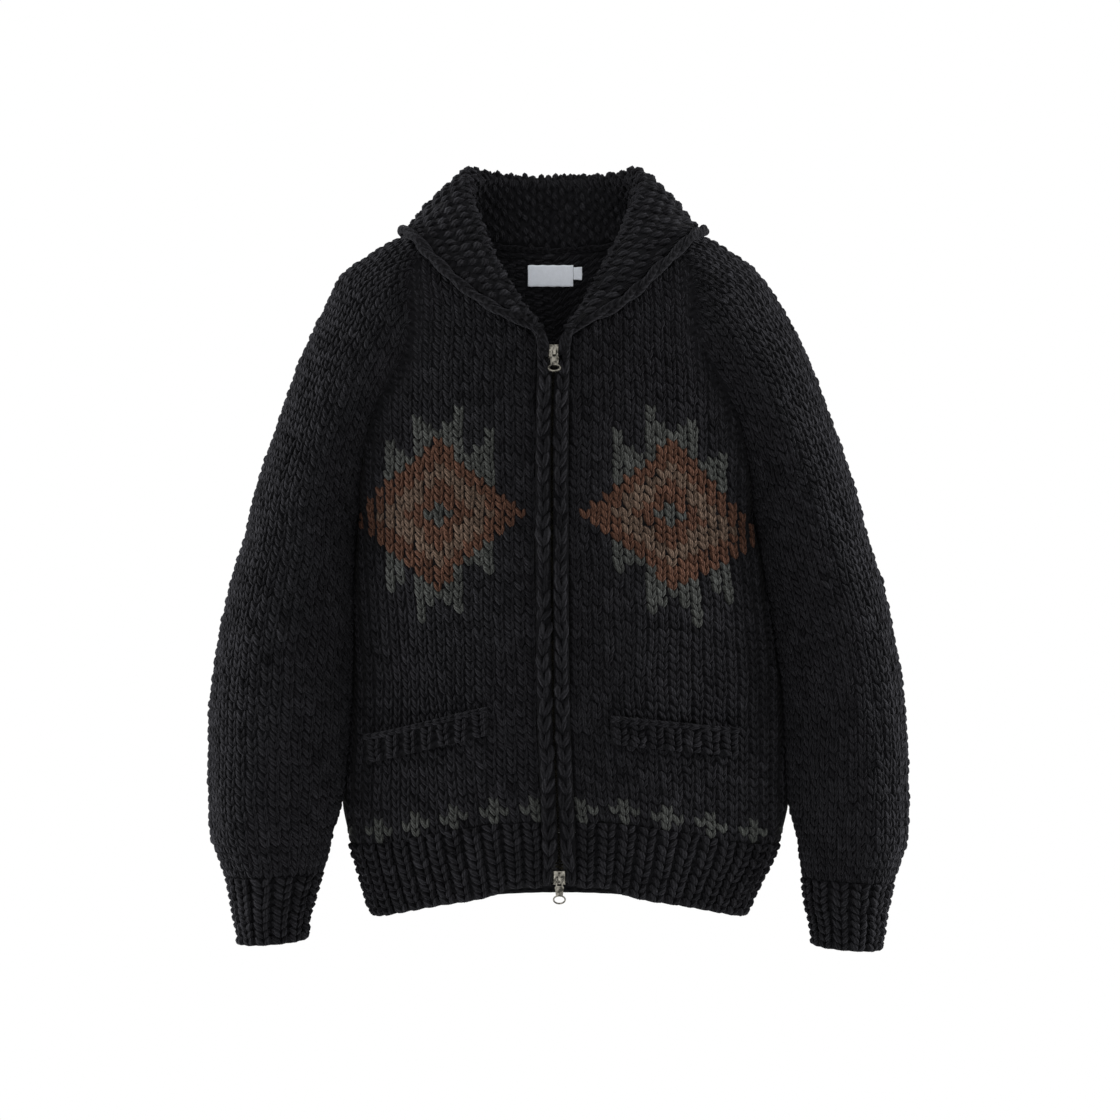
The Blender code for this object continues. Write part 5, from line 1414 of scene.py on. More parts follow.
def wandered(u, v, seed):
    """Columns and rows of hand knitting don't run quite straight."""
    phase = np.random.default_rng(seed).uniform(0.0, 2 * math.pi, 4)
    move_u = 0.9 * np.sin(v / 31.0 + phase[0]) + 0.6 * np.sin(v / 13.0 + u / 29.0 + phase[1])
    move_v = 0.9 * np.sin(u / 27.0 + phase[2]) + 0.5 * np.sin(u / 11.0 + v / 43.0 + phase[3])
    return u + move_u, v + move_v


def length_at(field, x, v):
    """How far along each row of a field lies this distance from the zip's middle."""
    table = np.stack([np.interp(x, row[:, 0], field.us) for row in field.points])
    i = np.interp(v, field.vs, np.arange(len(field.vs)))
    low = np.minimum(i.astype(int), len(field.vs) - 2)
    column = np.arange(len(x))
    return table[low, column] * (1 - (i - low)) + table[low + 1, column] * (i - low)


def front_stitches(front, field, side, hand):
    """Stitches of a front, laid out on the plain surface and knitted on the creased one."""
    rib_top = -float(HEM_AT["rib_top"](0.0))
    columns, rows = np.meshgrid(np.arange(FRONT_STITCHES), np.arange(FRONT_ROWS))
    columns, rows = columns.ravel(), rows.ravel()
    level = rib_top - ROW * (rows + 1)
    x = CORD_OUTER + SEAM + (columns + 0.5) * COLUMN
    sag = SIDE_SAG[hand] * smooth((x - SAG_FROM) / SAG_FROM) * smooth((rib_top - level) / SAG_RISE)
    v = bowed(level, x) + sag
    u = length_at(front, x, v)
    lean = (length_at(front, x, v + ROW / 2) - length_at(front, x, v - ROW / 2)) / ROW
    _, high = limits(front, v + ROW / 2)
    keep = (u < high + EDGE_REACH) & (u > front_start(v) - 1.0) & (v > -FRONT_RAGLAN[0, 2])
    u, v = wandered(u, v, SEEDS["front_wander"] + side)
    stitch = KNIT_STITCH if side == 1 else MIRROR_STITCH
    picks = chart(columns, rows)
    part = knit(field, stitch, u[keep], v[keep], picks[keep], SEEDS["front"] + side, flip=side,
                lean=np.clip(lean, -1.0, 1.0)[keep])
    return joined("front_stitches_" + hand, [part])


def fronts(front):
    """Both fronts, knitted on the same surface; each has creases of its own."""
    made = {}
    bottom = -float(HEM_AT["rib_top"](0.0)) - SEAM
    for side, hand in HANDS:
        field = press(front, (valley(front, 1),), level=True)
        field = press(field, (ZIP_GROOVE, *FRONT_CREASES[hand]))
        grid, normals, near = torso_shell(field, "front", -FRONT_RAGLAN[0, 2], bottom)
        piece = cloth("front_cloth_" + hand, "front_" + hand, grid, normals, near, side=side)
        made["front_" + hand] = (piece, front_stitches(front, field, side, hand))
    return made


def both_halves(right, left):
    """One grid from the two halves of a piece, each read outwards from its middle."""
    return np.concatenate((right[:, :0:-1], left), axis=1)


def back_piece(back):
    """The whole back: its left half, and the same surface with its own creases turned over."""
    pressed = press(back, (valley(back, 1),), level=True)
    halves = {side: press(pressed, BACK_CREASES, side) for side in (1, -1)}
    left, right = (torso_shell(halves[side], "back", -BACK_RAGLAN[0, 2], -HEM[-1][1] - SEAM)
                   for side in (1, -1))
    grid, normals = (both_halves(mirrored(right[k], -1), left[k]) for k in (0, 1))
    piece = cloth("back_cloth", "back", grid, normals, both_halves(right[2], left[2]))
    columns, rows = np.meshgrid(np.arange(BACK_STITCHES), np.arange(BACK_ROWS))
    u = (columns.ravel() + 0.5) * COLUMN
    v = -HEM[-1][1] - ROW * (rows.ravel() + 1.0)
    _, high = limits(back, v + ROW / 2)
    keep = (u < high + EDGE_REACH) & (v > -BACK_RAGLAN[0, 2])
    parts = []
    for side, stitch in ((1, MIRROR_STITCH), (-1, KNIT_STITCH)):
        place_u, place_v = wandered(u * side, v, SEEDS["back_wander"])
        parts.append(knit(halves[side], stitch, place_u[keep] * side, place_v[keep], BLACK,
                          SEEDS["back"] + side, flip=side))
    parts += inner_purl(halves)
    return {"back": (piece, joined("back_stitches", parts))}


PURL_DROP = 0.5           # inside the back neck the rows rise this much to the wearer's left
PURL_COLUMN = 9.6
PURL_ROW = 8.2
PURL_REACH = 84.0         # the bumps lie this far to each side of the middle ...
PURL_BOTTOM = 150.0       # ... and this far down
PURL_TOP = 6.0            # they begin this far below the back's upper edge
PURL_SINK = 1.2           # their feet lie this far within the shell's inner face
# No bumps lie under the two labels. Their common middle is LABEL_MIDDLE beside the neck label's,
# and they cover the cloth this far from it, across and up or down.
LABEL_MIDDLE = 3.0
LABEL_COVER = (24.0, 7.0)


def inner_purl(halves):
    """Purl bumps on the back's inner face, where it shows through the neck opening."""
    columns, rows = np.meshgrid(np.arange(int(PURL_REACH / PURL_COLUMN)), np.arange(-14, 30))
    u = (columns.ravel() + 0.5) * PURL_COLUMN
    parts = []
    for side in (1, -1):
        v = rows.ravel() * PURL_ROW - side * PURL_DROP * u
        keep = (v > PURL_TOP - BACK_RAGLAN[0, 2]) & (v < PURL_BOTTOM)
        beside_label = np.abs(side * u - LABEL["x"] - LABEL_MIDDLE) > LABEL_COVER[0]
        keep &= beside_label | (np.abs(v + LABEL["z"]) > LABEL_COVER[1])
        parts.append(knit(halves[side], PURL_STITCH, u[keep], v[keep], BLACK,
                          SEEDS["inner_purl"] + side, flip=side,
                          lift=STITCH_SINK + SHELL_BACK - PURL_SINK, scale=(1.05, 1.3),
                          shear=-side * PURL_DROP, outward=-1.0, jitter=0.8))
    return parts


SLEEVE_SHELL_ROWS, SLEEVE_SHELL_COLUMNS = 90, 73          # of points


def sleeve_shell(field, cuff):
    """Grid, normals and depth of the shell of a sleeve, from the neck down to the cuff."""
    levels = np.linspace(0.0, cuff - SEAM, SLEEVE_SHELL_ROWS)
    shares = np.linspace(0.0, 1.0, SLEEVE_SHELL_COLUMNS)
    low, high = limits(field, levels)
    low, high = low - SHELL_LAP, high + SHELL_LAP
    u = low[:, None] + (high - low)[:, None] * shares
    grid, normals = field.read(u, np.repeat(levels[:, None], len(shares), axis=1))
    from_seam = np.minimum(u - low[:, None], high[:, None] - u)
    near = SHELL_FRONT - SHELL_CLOSER * smooth(1.0 - from_seam / SLEEVE_CLOSER)
    return grid, normals, near


def sleeve_stitches(field, cuff, side):
    """Stitches of a sleeve, whose columns draw together above the cuff."""
    columns, rows = np.meshgrid(np.arange(-SLEEVE_STITCHES, SLEEVE_STITCHES),
                                np.arange(int(cuff / SLEEVE_ROW)))
    middle = (columns.ravel() + 0.5) * COLUMN
    v = cuff - SLEEVE_ROW * (rows.ravel() + 1.0)
    gather = float(np.interp(GATHER_STATION, field.stations, field.vs))
    around = field.high - field.low
    narrowing = np.minimum(around / np.interp(gather, field.vs, around), 1.0)
    narrowing[field.vs < gather] = 1.0
    squeeze = np.interp(v, field.vs, narrowing)
    u = middle * squeeze
    lean = middle * np.interp(v, field.vs, np.gradient(narrowing, field.vs))
    low, high = limits(field, v + SLEEVE_ROW / 2)
    keep = (u < high + EDGE_REACH) & (u > low - EDGE_REACH)
    u, v = wandered(u, v, SEEDS["sleeve_wander"] + side)
    stitch = KNIT_STITCH if side == 1 else MIRROR_STITCH
    return knit(field, stitch, u[keep], v[keep], BLACK, SEEDS["sleeve"] + side, flip=side,
                scale=(squeeze[keep], SLEEVE_ROW / ROW), lean=np.clip(lean, -1.5, 1.5)[keep],
                square=True)


def sleeves():
    """Both sleeves, creased, with a valley along their raglan seams."""
    made = {}
    for side, hand in HANDS:
        plain = sleeve_field(side)
        valleys = (valley(plain, 0), valley(plain, 1))
        field = press(press(plain, valleys, level=True), SLEEVE_CREASES[hand])
        cuff = float(np.interp(CUFF_STATION, field.stations, field.vs))
        grid, normals, near = sleeve_shell(field, cuff)
        piece = cloth("sleeve_cloth_" + hand, "sleeve_" + hand, grid, normals, near, side=side)
        stitches = joined("sleeve_stitches_" + hand, [sleeve_stitches(field, cuff, side)])
        made["sleeve_" + hand] = (piece, stitches)
    return made


# ---------------------------------------------------------------- ribs
RIB_SHAPE = (0.0, 0.5, 0.86, 1.0, 1.0, 1.0, 0.86, 0.5)    # height across one rib, from its groove
RIB_GROOVE = 3.4          # the shell lies this deep in a rib's groove ...
RIB_CROWN = 2.0           # ... and this much higher under its stitches
RIB_LENGTH = 70.0         # how deep a rib counts as, from its top to its edge
RIB_WIDTH = 18.5          # a rib's stitch is drawn for ribs this wide
RIB_STEPS = 12            # rows of points of a rib's surface


def rib_field(rows, closed=False):
    """A field over a rib, by its mean length round the garment and by its mean depth."""
    mask = np.full(len(rows), closed)
    outward = unit(rows - rows.mean(axis=1, keepdims=True)) if closed else from_axis(rows)
    normals = grid_normals(rows, outward, mask)
    if closed:
        normals[:, 0] = normals[:, -1] = unit(normals[:, 0] + normals[:, -1])
    length = float(np.linalg.norm(np.diff(rows, axis=1), axis=2).sum(axis=1).mean())
    us, vs = np.linspace(0.0, length, rows.shape[1]), np.linspace(0.0, RIB_LENGTH, len(rows))
    field = Field(us, vs, rows, normals)
    field.length = length
    return field


def rib_piece(name, node_name, field, ribs, flips, seed, closed=False, face="front"):
    """The shell of a rib with its raised columns, and the stitches on each column."""
    shape = np.array([RIB_SHAPE[j % len(RIB_SHAPE)] for j in range(field.points.shape[1])])
    near = np.broadcast_to(RIB_GROOVE - RIB_CROWN * shape, field.points.shape[:2])
    grid, normals = (mirrored(table, flips[0]) for table in (field.points, field.normals))
    if len(flips) == 2:
        other = (mirrored(table, flips[1]) for table in (field.points, field.normals))
        grid, normals, near = (both_halves(*pair)
                               for pair in zip((*other, near), (grid, normals, near)))
    if closed:
        grid, normals, near = grid[:, :-1], normals[:, :-1], near[:, :-1]
    piece = cloth(name, node_name, grid, normals, near, closed=closed)
    count = int(round(RIB_LENGTH / RIB_ROW))
    columns, rows = np.meshgrid(np.arange(ribs), np.arange(count))
    pitch = field.length / ribs
    u = (columns.ravel() + 0.5) * pitch
    v = RIB_LENGTH / count * rows.ravel()
    plain, turned = (RIB_MIRROR, RIB_STITCH) if face == "back" else (RIB_STITCH, RIB_MIRROR)
    parts = [knit(field, plain if flip == 1 else turned, u, v, BLACK, seed + k, flip=flip,
                  lift=1.0, scale=(pitch / RIB_WIDTH, RIB_LENGTH / count / RIB_ROW), jitter=0.7)
             for k, flip in enumerate(flips)]
    return piece, joined(name + "_stitches", parts)


def ribs():
    """The ribs of hem and cuffs. The front's serves both hands, turned over for the right."""
    made = {}
    steps = np.linspace(0.0, 1.0, RIB_STEPS)
    shares = np.linspace(0.0, 1.0, FRONT_COLUMNS * len(RIB_SHAPE) + 1)
    front = rib_field(np.array([rib_row("front", step, shares) for step in steps]))
    for side, hand in HANDS:
        made["hem_" + hand] = rib_piece("hem_rib_cloth_" + hand, "hem_rib_" + hand, front, FRONT_COLUMNS,
                                        (side,), SEEDS["front_rib"] + side)
    half = BACK_COLUMNS // 2
    shares = np.linspace(0.0, 1.0, half * len(RIB_SHAPE) + 1)
    back = rib_field(np.array([rib_row("back", step, shares) for step in steps]))
    made["hem_back"] = rib_piece("hem_rib_cloth_back", "hem_rib_back", back, half, (1, -1),
                                 SEEDS["back_rib"], face="back")
    shares = np.linspace(0.0, 1.0, CUFF_RIBS * len(RIB_SHAPE) + 1)
    for side, hand in HANDS:
        stations = CUFF_STATION + (LAST_STATION - CUFF_STATION) * steps
        rows = np.array([sleeve_row(station, shares, side) for station in stations])
        field = rib_field(rows, closed=True)
        made["cuff_" + hand] = rib_piece("cuff_cloth_" + hand, "cuff_" + hand, field, CUFF_RIBS, (side,),
                                         SEEDS["cuff"] + side, closed=True)
    return made


# ---------------------------------------------------------------- collar
COLLAR_FINE = 4           # finer steps between the solid's stations
COLLAR_SHELL = 0.8        # half the shell's thickness
COLLAR_LIFT = STITCH_SINK + 0.5
SEED_PITCH = (13.0, 9.8)   # on the leaf, from stitch to stitch across the collar and along it
STAND_PITCH = (11.5, 7.6)  # on the stand's inner side
SEED_SLANT = 0.62         # on the leaf the stitches lie level, aslant to the collar's length
LEAF_COLUMN = len(STAND_SHARES) + 4     # the mesh column along which the leaf's length is read ...
STAND_COLUMN = 2                        # ... and the stand's


def refined(table, times):
    """A grid of points with `times` as many steps each way, on smooth curves."""
    for _ in range(2):
        knots = np.arange(len(table), dtype=float)
        fine = np.linspace(0.0, knots[-1], (len(table) - 1) * times + 1)
        flat = table.reshape(len(table), -1)
        table = spline_points(knots, flat, fine).reshape(len(fine), *table.shape[1:])
        table = table.transpose(1, 0, 2)
    return table


def collar_field(grid, normals, column):
    """The collar, by length across it from its fold and by length along one of its columns."""
    fold = (len(STAND_SHARES) - 1) * COLLAR_FINE
    levels = run_along(grid[:, column * COLLAR_FINE])
    return field_by_length(levels, grid, normals, -run_along(grid, axis=1)[:, fold])


def leaf_stitches(field):
    """Stitches of the leaf; they slant the other way on the wearer's other side."""
    pitch_u, pitch_v = SEED_PITCH
    end = field.vs[-1]
    bands, steps = np.meshgrid(np.arange(-20, int(end / pitch_v) + 20), np.arange(-1, 15))
    u = pitch_u * (steps.ravel() + 0.3)
    parts = []
    for slant, first, last in ((SEED_SLANT, 1.0, end / 2), (-SEED_SLANT, end / 2, end - 1.0)):
        v = pitch_v * bands.ravel() + slant * u
        _, high = limits(field, v)
        keep = (v > first) & (v < last) & (u < high - 1.0)
        parts.append(knit(field, SEED_STITCH, u[keep], v[keep], BLACK, SEEDS["leaf"] + len(parts),
                          lift=COLLAR_LIFT, jitter=1.5, scale=(0.98, 1.22), shear=slant))
    return parts


def stand_stitches(field):
    """Bumps on the inner side of the stand, each row half a step on from the last."""
    pitch_u, pitch_v = STAND_PITCH
    bands, steps = np.meshgrid(np.arange(1, int(field.vs[-1] / pitch_v)), np.arange(-16, 2))
    v = bands.ravel() * pitch_v
    u = pitch_u * (steps.ravel() + 0.5 * (bands.ravel() % 2))
    low, _ = limits(field, v)
    keep = (u < pitch_u) & (u > low)
    return knit(field, STAND_BUMP, u[keep], v[keep], BLACK, SEEDS["stand"], lift=COLLAR_LIFT, jitter=1.8)


def collar():
    """The collar with its stitches, the rope along its edge and the roll of its neck seam."""
    grid, normals, cord = collar_lines()
    grid, normals = refined(grid, COLLAR_FINE), unit(refined(normals, COLLAR_FINE))
    piece = cloth("collar_cloth", "collar", grid, normals, -COLLAR_SHELL, COLLAR_SHELL)
    parts = leaf_stitches(collar_field(grid, normals, LEAF_COLUMN))
    parts.append(stand_stitches(collar_field(grid, normals, STAND_COLUMN)))
    stitches = joined("collar_stitches", parts)
    edge_rope = rope("collar_edge_rope", to_the_zip(cord), **EDGE_ROPE)
    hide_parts("collar_cord")
    inside = grid[:, 0] - normals[:, 0] * SEAM_ROLL_IN - (0.0, 0.0, SEAM_ROLL_DOWN)
    behind = (inside[:, 1] > 0.0) & (np.abs(inside[:, 0]) < SEAM_ROLL_REACH)
    rope("neck_seam_roll", inside[behind], **SEAM_ROLL)
    return piece, stitches


def to_the_zip(line):
    """The edge's cord runs on down to the zip's cords at both ends."""
    ends = []
    for first in (line[0], line[-1]):
        side = math.copysign(1.0, first[0])
        spots = []
        for x, z, sunk in ROPE_ENDS:
            spots.append((side * x, -float(TORSO_AT["front"](z)) - CORD_RISE + sunk, z))
        ends.append(np.array(spots))
    return np.concatenate((ends[0][::-1], line[2:-2], ends[1]))


# Half width of a strand, its distance from the rope's middle, and the length of one turn.
EDGE_ROPE = {"strand_half": 4.1, "offset": 2.0, "pitch": 66.0}
SEAM_ROLL = {"strand_half": 3.0, "offset": 1.0, "pitch": 52.0}
ROPE_STEP = 2.5           # from one ring of points to the next
ROPE_SIDES = 12
SEAM_ROLL_IN, SEAM_ROLL_DOWN, SEAM_ROLL_REACH = 0.5, 3.0, 74.0
ROPE_ENDS = ((12.6, -93.0, 0.6), (10.6, -102.0, 1.2), (10.2, -113.0, 3.4))       # x, z, depth sunk


def rope(name, line, strand_half, offset, pitch):
    """Two strands of yarn twisted along a line."""
    knots = run_along(line)
    spots = np.linspace(0.0, knots[-1], int(knots[-1] / ROPE_STEP))
    middle = spline_points(knots, line, spots)
    forward = unit(np.gradient(middle, axis=0))
    aside = unit(np.cross(forward, (0.0, 0.0, 1.0)))
    lift = np.cross(aside, forward)
    around = np.linspace(0.0, 2 * math.pi, ROPE_SIDES + 1)
    index = np.arange(len(spots) * len(around)).reshape(-1, len(around))
    uv = np.stack(np.broadcast_arrays(0.5 + 0.38 * np.cos(around[None]), spots[:, None] / 9.0), axis=-1)
    points, faces = [], []
    for strand in (0, 1):
        turn = 2 * math.pi * spots / pitch + math.pi * strand
        centre = middle + offset * (np.cos(turn)[:, None] * aside + np.sin(turn)[:, None] * lift)
        way = unit(np.gradient(centre, axis=0))
        right = unit(np.cross(way, lift))
        up = np.cross(right, way)
        rings = centre[:, None] + strand_half * (np.cos(around)[None, :, None] * right[:, None]
                                                 + np.sin(around)[None, :, None] * up[:, None])
        points.append(rings.reshape(-1, 3))
        faces.append(cells(index + strand * index.size))
    points = np.concatenate(points)
    item = new_object(name, points, np.concatenate(faces), ["yarn_black"],
                      uvs=np.concatenate([uv.reshape(-1, 2)] * 2), tones=np.zeros(len(points)))
    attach(item, "garment")
    return item


# ---------------------------------------------------------------- edging, welts
CHAIN_PITCH = 15.5
EDGING_TOP, EDGING_FOOT = 100.0, 648.0        # below the neck
EDGING_HALF = 7.0
EDGING_FACE, EDGING_BACK = 0.6, 4.0           # depths of the two faces of its shell
EDGING_POINTS = 13
EDGING_SINK = 1.5         # its edges lie this far behind the cloth's face
EDGING_TURN = 0.7         # how far its surface turns aside at its edges
CHAIN_FIRST = 7.0         # from its upper end to the first link
CHAIN_SPREAD = 0.07       # how far the links' lengths differ
EDGING_OVERHANG = 2.3    # the stitches hang over the zip by this much, so that its cords almost meet


def edging_field():
    """The face of the cord beside the zip, by width and by depth below the neck."""
    levels = np.arange(EDGING_TOP, EDGING_FOOT, LEVEL_STEP)
    us = np.linspace(-1.0, 1.0, EDGING_POINTS)
    rows = []
    for level in levels:
        inner = cord_inner_edge(-level)
        free = (SLIDER_ROOM - inner) / (SLIDER_ROOM - CORD_INNER)
        inner -= EDGING_OVERHANG * min(max(free, 0.0), 1.0)
        half, middle = (CORD_OUTER - inner) / 2, (CORD_OUTER + inner) / 2
        face = -float(TORSO_AT["front"](-level))
        y = face - CORD_RISE * np.sqrt(np.clip(1.0 - us ** 2, 0.0, 1.0)) + EDGING_SINK
        rows.append(np.stack([middle + half * us, y, np.full_like(us, -level)], axis=1))
    rows = np.array(rows)
    normals = np.zeros_like(rows)
    normals[..., 0] = us[None] * EDGING_TURN
    normals[..., 1] = -1.0
    return Field(us * EDGING_HALF, levels, rows, normals)


def edgings():
    """The chain-knit cords down both sides of the zip."""
    made = {}
    field = edging_field()
    count = int((field.vs[-1] - field.vs[0]) / CHAIN_PITCH)
    v = field.vs[0] + CHAIN_FIRST + CHAIN_PITCH * np.arange(count)
    for side, hand in HANDS:
        piece = cloth("edging_cloth_" + hand, "edging_" + hand, field.points, field.normals,
                      EDGING_FACE, EDGING_BACK, side=side)
        dice = np.random.default_rng(SEEDS["chain_length"] + side)
        reach = 1.0 + dice.normal(0.0, CHAIN_SPREAD, count)
        part = knit(field, CHAIN_LINK, np.full(count, -0.5), v, BLACK, SEEDS["chain"] + side,
                    flip=side, lift=1.6, scale=(0.9, reach), jitter=1.2)
        made["edging_" + hand] = (piece, joined("edging_stitches_" + hand, [part]))
    return made


WELT_STEPS = 9            # rows of points of a welt's surface
WELT_GROOVE = 0.6         # its shell lies this deep between two ribs ...
WELT_CROWN = 1.2          # ... and this much higher under their stitches
WELT_BACK = 3.4           # depth of the back of its shell
WELT_FIRST, WELT_ROW, WELT_ROWS = 5.5, 6.0, 4     # rows of stitches below the top edge
WELT_RIB_WIDTH = 17.0     # a welt's stitch is drawn for ribs this wide
BIND_PITCH = 9.5          # from one link of the chain along its top edge to the next
BIND_LEVEL = 2.2          # the chain lies this far below the top edge


def welt_field(spec):
    """A welt's face, by length along it and by depth below its top edge."""
    us = np.linspace(0.0, 1.0, WELT_RIBS * len(RIB_SHAPE) + 1)
    vs = np.linspace(0.0, 1.0, WELT_STEPS)
    x = spec["inner"] + (spec["outer"] - spec["inner"]) * us
    top = spec["inner_z"] + (spec["outer_z"] - spec["inner_z"]) * us
    points, normals = front_surface(np.repeat(x[None], len(vs), axis=0),
                                    top[None] - WELT_HEIGHT * vs[:, None])
    lift = SEAM + 0.5 + WELT_STAND_OFF * (1.0 - vs) ** 2 + WELT_WALL - 1.0
    rows = points + normals * lift[:, None, None]
    length = float(np.linalg.norm(np.diff(rows[0], axis=0), axis=1).sum())
    return Field(us * length, vs * WELT_HEIGHT, rows, normals), normals, length


def welts():
    """The ribbed welts of both pockets, each with a chain along its top edge."""
    made = {}
    for hand, values in WELTS.items():
        spec = dict(zip(WELT_COLUMNS, values))
        side = spec["side"]
        field, normals, length = welt_field(spec)
        shape = np.array([RIB_SHAPE[j % len(RIB_SHAPE)] for j in range(len(field.us))])
        near = np.repeat((WELT_GROOVE - WELT_CROWN * shape)[None], len(field.vs), axis=0)
        piece = cloth("welt_cloth_" + hand, "pocket_welt_" + hand, field.points, normals, near,
                      WELT_BACK, side=side)
        pitch = length / WELT_RIBS
        columns, ranks = np.meshgrid(np.arange(WELT_RIBS), np.arange(WELT_ROWS))
        u = (columns.ravel() + 0.5) * pitch
        v = WELT_FIRST + WELT_ROW * ranks.ravel()
        stitch = RIB_STITCH if side == 1 else RIB_MIRROR
        parts = [knit(field, stitch, u, v, BLACK, SEEDS["welt"] + side, flip=side, lift=3.0,
                      scale=(min(pitch / WELT_RIB_WIDTH, 1.0), 0.80))]
        bound = np.arange(0.5, length / BIND_PITCH)
        parts.append(knit(field, BIND_LINK, bound * BIND_PITCH, np.full(len(bound), BIND_LEVEL),
                          BLACK, SEEDS["welt_binding"] + side, flip=side, lift=3.4, jitter=0.8))
        made["welt_" + hand] = (piece, joined("welt_stitches_" + hand, parts))
    return made


# ---------------------------------------------------------------- zip and labels
ZIP_FOOT = -645.5         # lower end of the tapes
TAPE_START = 2.0          # the tapes begin this far below the zip's upper end
TAPE_STEP, TAPE_POINTS = 6.0, 4       # between their rows of points, and points in a row
TOOTH_PITCH = 3.4
TOOTH = (4.4, 1.6, 1.7)   # across, deep, high
TOOTH_ASIDE = 1.6         # from the zip's middle to a tooth's
TOOTH_TAPER = 0.25        # a tooth is this share slimmer towards its tape


def zip_teeth():
    """Two rows of metal teeth that lock in the middle, over the whole closed zip."""
    corners = np.array([(x, y, z) for x in (0, 1) for y in (0, 1) for z in (0, 1)], float) - 0.5
    quads = np.array([(0, 1, 3, 2), (4, 6, 7, 5), (0, 4, 5, 1), (2, 3, 7, 6), (0, 2, 6, 4), (1, 5, 7, 3)])
    points, faces = [], []
    z = SLIDER_TOP_Z - SLIDER_LENGTH / 2
    count = int((z - SLIDER_BOTTOM_Z - SLIDER_LENGTH / 2) / TOOTH_PITCH)
    for k in range(count):
        for side in (-1, 1):
            level = z - TOOTH_PITCH * (k + 0.25 + 0.5 * (side > 0))
            depth = TAPE_DEPTH - float(TORSO_AT["front"](level)) + TAPE_THICKNESS / 2
            box = corners * TOOTH
            box[:, 0] *= 1.0 - TOOTH_TAPER * (corners[:, 0] * side < 0)
            points.append(box + (side * TOOTH_ASIDE, depth, level))
            faces.append(quads + 8 * len(faces))
    # Their metal is nearly black, painted shade of the slit between the cords.
    item = new_object("zip_teeth", np.concatenate(points), np.concatenate(faces), ["teeth_metal_painted_shade"])
    item.data.shade_flat()
    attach(item, "garment")
    return item


def tapes():
    """The woven tapes behind the edging."""
    made = {}
    levels = np.arange(ZIP_TOP - TAPE_START, ZIP_FOOT, -TAPE_STEP)
    across = np.linspace(TAPE_INNER, TAPE_OUTER, TAPE_POINTS)
    for side, hand in HANDS:
        x, z = np.meshgrid(across * side, levels)
        grid = np.stack([x, TAPE_DEPTH - TORSO_AT["front"](z), z], axis=-1)
        normals = np.zeros_like(grid)
        normals[..., 1] = -1.0
        piece = cloth("zip_tape_cloth_" + hand, "zip_tape_" + hand, grid, normals, 0.0,
                      TAPE_THICKNESS, material="tape_cloth")
        made["tape_" + hand] = (piece, None)
    return made


PUCKER_PITCH = 11.0       # a sewn label's edges wave over this length ...
PUCKER = 0.35             # ... by this much
LABEL_RISE = 0.8          # the label lies on the stitches
LABEL_POINTS = (33, 13)   # points across and down
RAY_START = -0.02         # metres; the labels' solids are felt out from here, well in front of them
RAY_INSET = (0.06, 0.1)   # a ray aims this share nearer to the label's middle, across and down ...
RAY_LIMIT = 0.8           # ... and across by this much at most


def labels():
    """Woven labels on the back's inner face, puckered where they are sewn."""
    made = {}
    for name, spec in (("neck_label", LABEL), ("size_label", SIZE_TAB)):
        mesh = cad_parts[name].data
        tree = BVHTree.FromPolygons([v.co for v in mesh.vertices], [list(p.vertices) for p in mesh.polygons])
        across, down = np.meshgrid(np.linspace(-0.5, 0.5, LABEL_POINTS[0]),
                                   np.linspace(0.5, -0.5, LABEL_POINTS[1]))
        pucker = np.sin(across * spec["width"] * 2 * math.pi / PUCKER_PITCH)
        x = spec["x"] + spec["width"] * across
        z = spec["z"] + spec["height"] * down + PUCKER * pucker * np.abs(down) * np.sign(down)
        y = np.empty_like(x)
        for spot in np.ndindex(x.shape):
            in_x = np.clip((spec["x"] - x[spot]) * RAY_INSET[0], -RAY_LIMIT, RAY_LIMIT)
            in_z = (spec["z"] - z[spot]) * RAY_INSET[1]
            start = Vector(((x[spot] + in_x) * MM, RAY_START, (z[spot] + in_z) * MM))
            y[spot] = tree.ray_cast(start, Vector((0.0, 1.0, 0.0)))[0].y / MM
        y -= PUCKER * pucker * (2 * np.abs(down)) ** 3 + LABEL_RISE
        grid = np.stack([x, y, z], axis=-1)
        grid[..., 0] -= sideways(grid)
        normals = np.zeros_like(grid)
        normals[..., 1] = -1.0
        piece = cloth(name + "_cloth", name, grid, normals, 0.0, LABEL_THICKNESS,
                      material="label_cloth")
        made[name] = (piece, None)
    return made


def metal(name, colour, roughness):
    """Worn metal, with a patina in patches."""
    _, tree, shader = new_material(name)
    wear = noise(tree, 420.0, 4.0, roughness=0.65)
    patina = noise(tree, 240.0, 3.0, roughness=0.6)
    bright = maths(tree, "MULTIPLY_ADD", maths(tree, "SUBTRACT", patina, 0.5), 5.0, 0.5)
    bright = maths(tree, "MAXIMUM", maths(tree, "MINIMUM", bright, 1.0), 0.0)
    amount = maths(tree, "MULTIPLY_ADD", bright, 1.2, 0.25)
    amount = maths(tree, "MULTIPLY", amount, maths(tree, "MULTIPLY_ADD", wear, 0.8, 0.6))
    tree.links.new(shade(tree, colour, amount), shader.inputs["Base Color"])
    rough = maths(tree, "MULTIPLY_ADD", wear, 0.25, roughness)
    tree.links.new(rough, shader.inputs["Roughness"])
    set_inputs(shader, {"Metallic": 1.0})
    add_bump(tree, shader, wear, 0.2, 0.0002)


